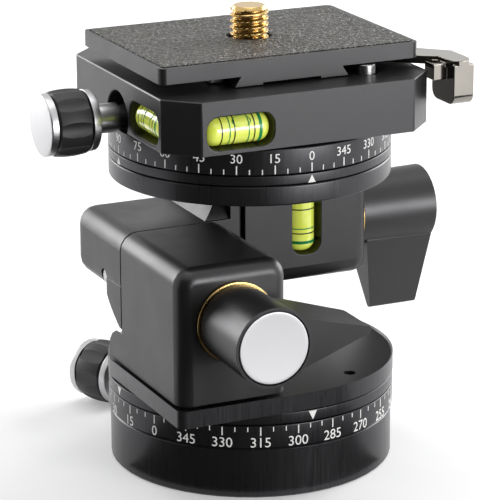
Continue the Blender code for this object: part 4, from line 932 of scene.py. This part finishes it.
def addHubShoulder():
    # a hub round the pitch axis, cut by a plane that climbs from the bar's top to the flange: at each
    # x the section is the arc radius * (cos a, sin a) from the bar's top to the plane, closed beneath
    look = shoulderLook
    centreY, centreZ = leverAxes["pitch"]["place"][1:]
    xs = np.linspace(look["left"], look["right"], 24)
    ceiling = look["top"] + np.tan(math.radians(look["rise"])) * (xs - look["left"])
    foot = look["foot"] - centreZ
    rows = []
    for x, roof in zip(xs, ceiling):
        high = min(max(roof - centreZ, foot + 0.02), look["radius"] - 0.01)
        turns = np.linspace(math.asin(foot / look["radius"]), math.asin(high / look["radius"]), 12)
        right = np.stack([centreY + look["radius"] * np.cos(turns),
                          centreZ + look["radius"] * np.sin(turns)], axis=1)
        left = right[::-1] * np.array([-1, 1]) + np.array([2 * centreY, 0])
        section = np.concatenate([right, left])
        rows.append(np.concatenate([np.full((len(section), 1), x), section], axis=1))
    addPiece("pitchHubShoulder", joinGrids("pitchHubShoulder", [np.array(rows)]), "blasted", "cross")


# Build

addRefinedNodes()
addStackRings()
addPlatform()
print("blocks, discs and rings refined")
addWashersAndCaps()
addRoundNodes()
addLowerKnobScrew()
addCapScrews()
addKnobs()
addCameraScrew()
print("knobs, screws, washers and caps made")
addVials()
addMarks()
addHubShoulder()
print("vials and marks made")


# Floor, light and camera

studio = {"floor": "#e9e9ea", "floorRough": 0.9, "floorGlow": 0.25, "half": 6.0,
          "world": "#ffffff", "worldStrength": 0.42, "aim": (0, 0, 0.055)}
lamps = {
    "topBox": {"place": (0.1, 0.1, 1.3), "size": (0.9, 0.9), "power": 4.5},
    "rightBox": {"place": (0.85, 0.22, 0.28), "size": (0.6, 0.55), "power": 8.0},
    "backLeftBox": {"place": (-0.42, 0.9, 0.28), "size": (0.6, 0.5), "power": 6.0},
    "frontRightBox": {"place": (0.36, -0.78, 0.16), "size": (0.45, 0.3), "power": 4.2},
}
# black cards stand round the camera's side; only mirror-like light sees them, so they shape the sheen
cardColour = "#050505"
cardLift = 0.001
cards = {
    "sideCard": {"turns": (-178, -92), "near": 0.037, "far": 1.1, "height": 1.0},
    "frontCard": {"turns": (-92, -45), "near": 0.037, "far": 0.19, "height": 0.0},
}
cameraLook = {"lens": 200.99, "sensor": 36.0, "distance": 0.69888, "azimuth": -24.9,
              "elevation": 16.9, "roll": -0.21, "aim": (0.0, 0.0, 0.05244), "clip": 0.01}


def placeOnStage(name, data):
    item = bpy.data.objects.new(name, data)
    bpy.context.scene.collection.objects.link(item)
    return item


def seenPlainly(tree):
    # 1 where the camera, glossy or transmission rays look, 0 for the light that falls on things
    path = addNode(tree, "ShaderNodeLightPath")
    seen = path.outputs["Is Camera Ray"]
    for ray in ("Is Glossy Ray", "Is Transmission Ray"):
        either = addNode(tree, "ShaderNodeMath", {"operation": "MAXIMUM"},
                         {0: seen, 1: path.outputs[ray]})
        seen = either.outputs[0]
    return seen


def addFloor():
    # pale even floor that keeps shadows; it glows a little for the camera, metal and glass
    material, tree, shader = startMaterial("matteWhitePaper", {
        "Base Color": studio["floor"], "Roughness": studio["floorRough"],
        "Emission Color": "#ffffff"})
    strength = addNode(tree, "ShaderNodeMath", {"operation": "MULTIPLY"},
                       {0: seenPlainly(tree), 1: studio["floorGlow"]})
    tree.links.new(strength.outputs[0], shader.inputs["Emission Strength"])
    half = studio["half"]
    mesh = bpy.data.meshes.new("floor")
    mesh.from_pydata([(-half, -half, 0), (half, -half, 0), (half, half, 0), (-half, half, 0)], [],
                     [(0, 1, 2, 3)])
    mesh.materials.append(material)
    placeOnStage("floor", mesh)


def addWorld():
    # an even white room, dimmer for the light that falls on things
    world = bpy.data.worlds.new("paleStudio")
    bpy.context.scene.world = world
    world.use_nodes = True
    tree = world.node_tree
    tree.nodes.clear()
    strength = addNode(tree, "ShaderNodeMapRange", None, {
        "Value": seenPlainly(tree), "From Min": 0.0, "From Max": 1.0,
        "To Min": studio["worldStrength"], "To Max": 1.0})
    back = addNode(tree, "ShaderNodeBackground", None, {"Strength": strength.outputs["Result"]})
    back.inputs["Color"].default_value = linearColour(studio["world"])
    out = addNode(tree, "ShaderNodeOutputWorld")
    tree.links.new(back.outputs[0], out.inputs["Surface"])


def addCards():
    # a sheet just over the floor, between two turns and two distances, that bends up into a wall
    material = startMaterial("blackVelvet", {"Base Color": cardColour, "Roughness": 1.0})[0]
    for name, card in cards.items():
        turns = np.radians(np.linspace(*card["turns"], 24))[:, None]
        reach = np.array([card["near"], card["far"], card["far"]])[None, :]
        level = np.array([cardLift, cardLift, card["height"] + cardLift])
        grid = np.stack([reach * np.cos(turns), reach * np.sin(turns),
                         np.repeat(level[None, :], len(turns), axis=0)], axis=-1)
        mesh = meshFromGrid(name, grid, around=False)
        mesh.materials.append(material)
        sheet = placeOnStage(name, mesh)
        sheet.visible_camera = sheet.visible_diffuse = sheet.visible_shadow = False
        sheet.visible_transmission = False


def addLamps():
    for name, lamp in lamps.items():
        data = bpy.data.lights.new(name, "AREA")
        data.shape = "RECTANGLE"
        data.size, data.size_y = lamp["size"]
        data.energy = lamp["power"]
        item = placeOnStage(name, data)
        item.location = lamp["place"]
        toward = Vector(studio["aim"]) - item.location
        item.rotation_euler = toward.to_track_quat("-Z", "Y").to_euler()
        item.visible_camera = False


def addCamera():
    look = cameraLook
    data = bpy.data.cameras.new("camera")
    data.lens, data.sensor_width = look["lens"], look["sensor"]
    data.clip_start = look["clip"]
    camera = bpy.data.objects.new("camera", data)
    bpy.context.scene.collection.objects.link(camera)
    azimuth, elevation = math.radians(look["azimuth"]), math.radians(look["elevation"])
    away = Vector((math.sin(azimuth) * math.cos(elevation), -math.cos(azimuth) * math.cos(elevation),
                   math.sin(elevation)))
    camera.location = Vector(look["aim"]) + away * look["distance"]
    camera.rotation_euler = (-away).to_track_quat("-Z", "Y").to_euler()
    camera.rotation_euler.rotate_axis("Z", math.radians(look["roll"]))
    bpy.context.scene.camera = camera


addFloor()
addWorld()
addLamps()
addCards()
addCamera()
bpy.context.scene.view_settings.view_transform = "Standard"
print("stage set")
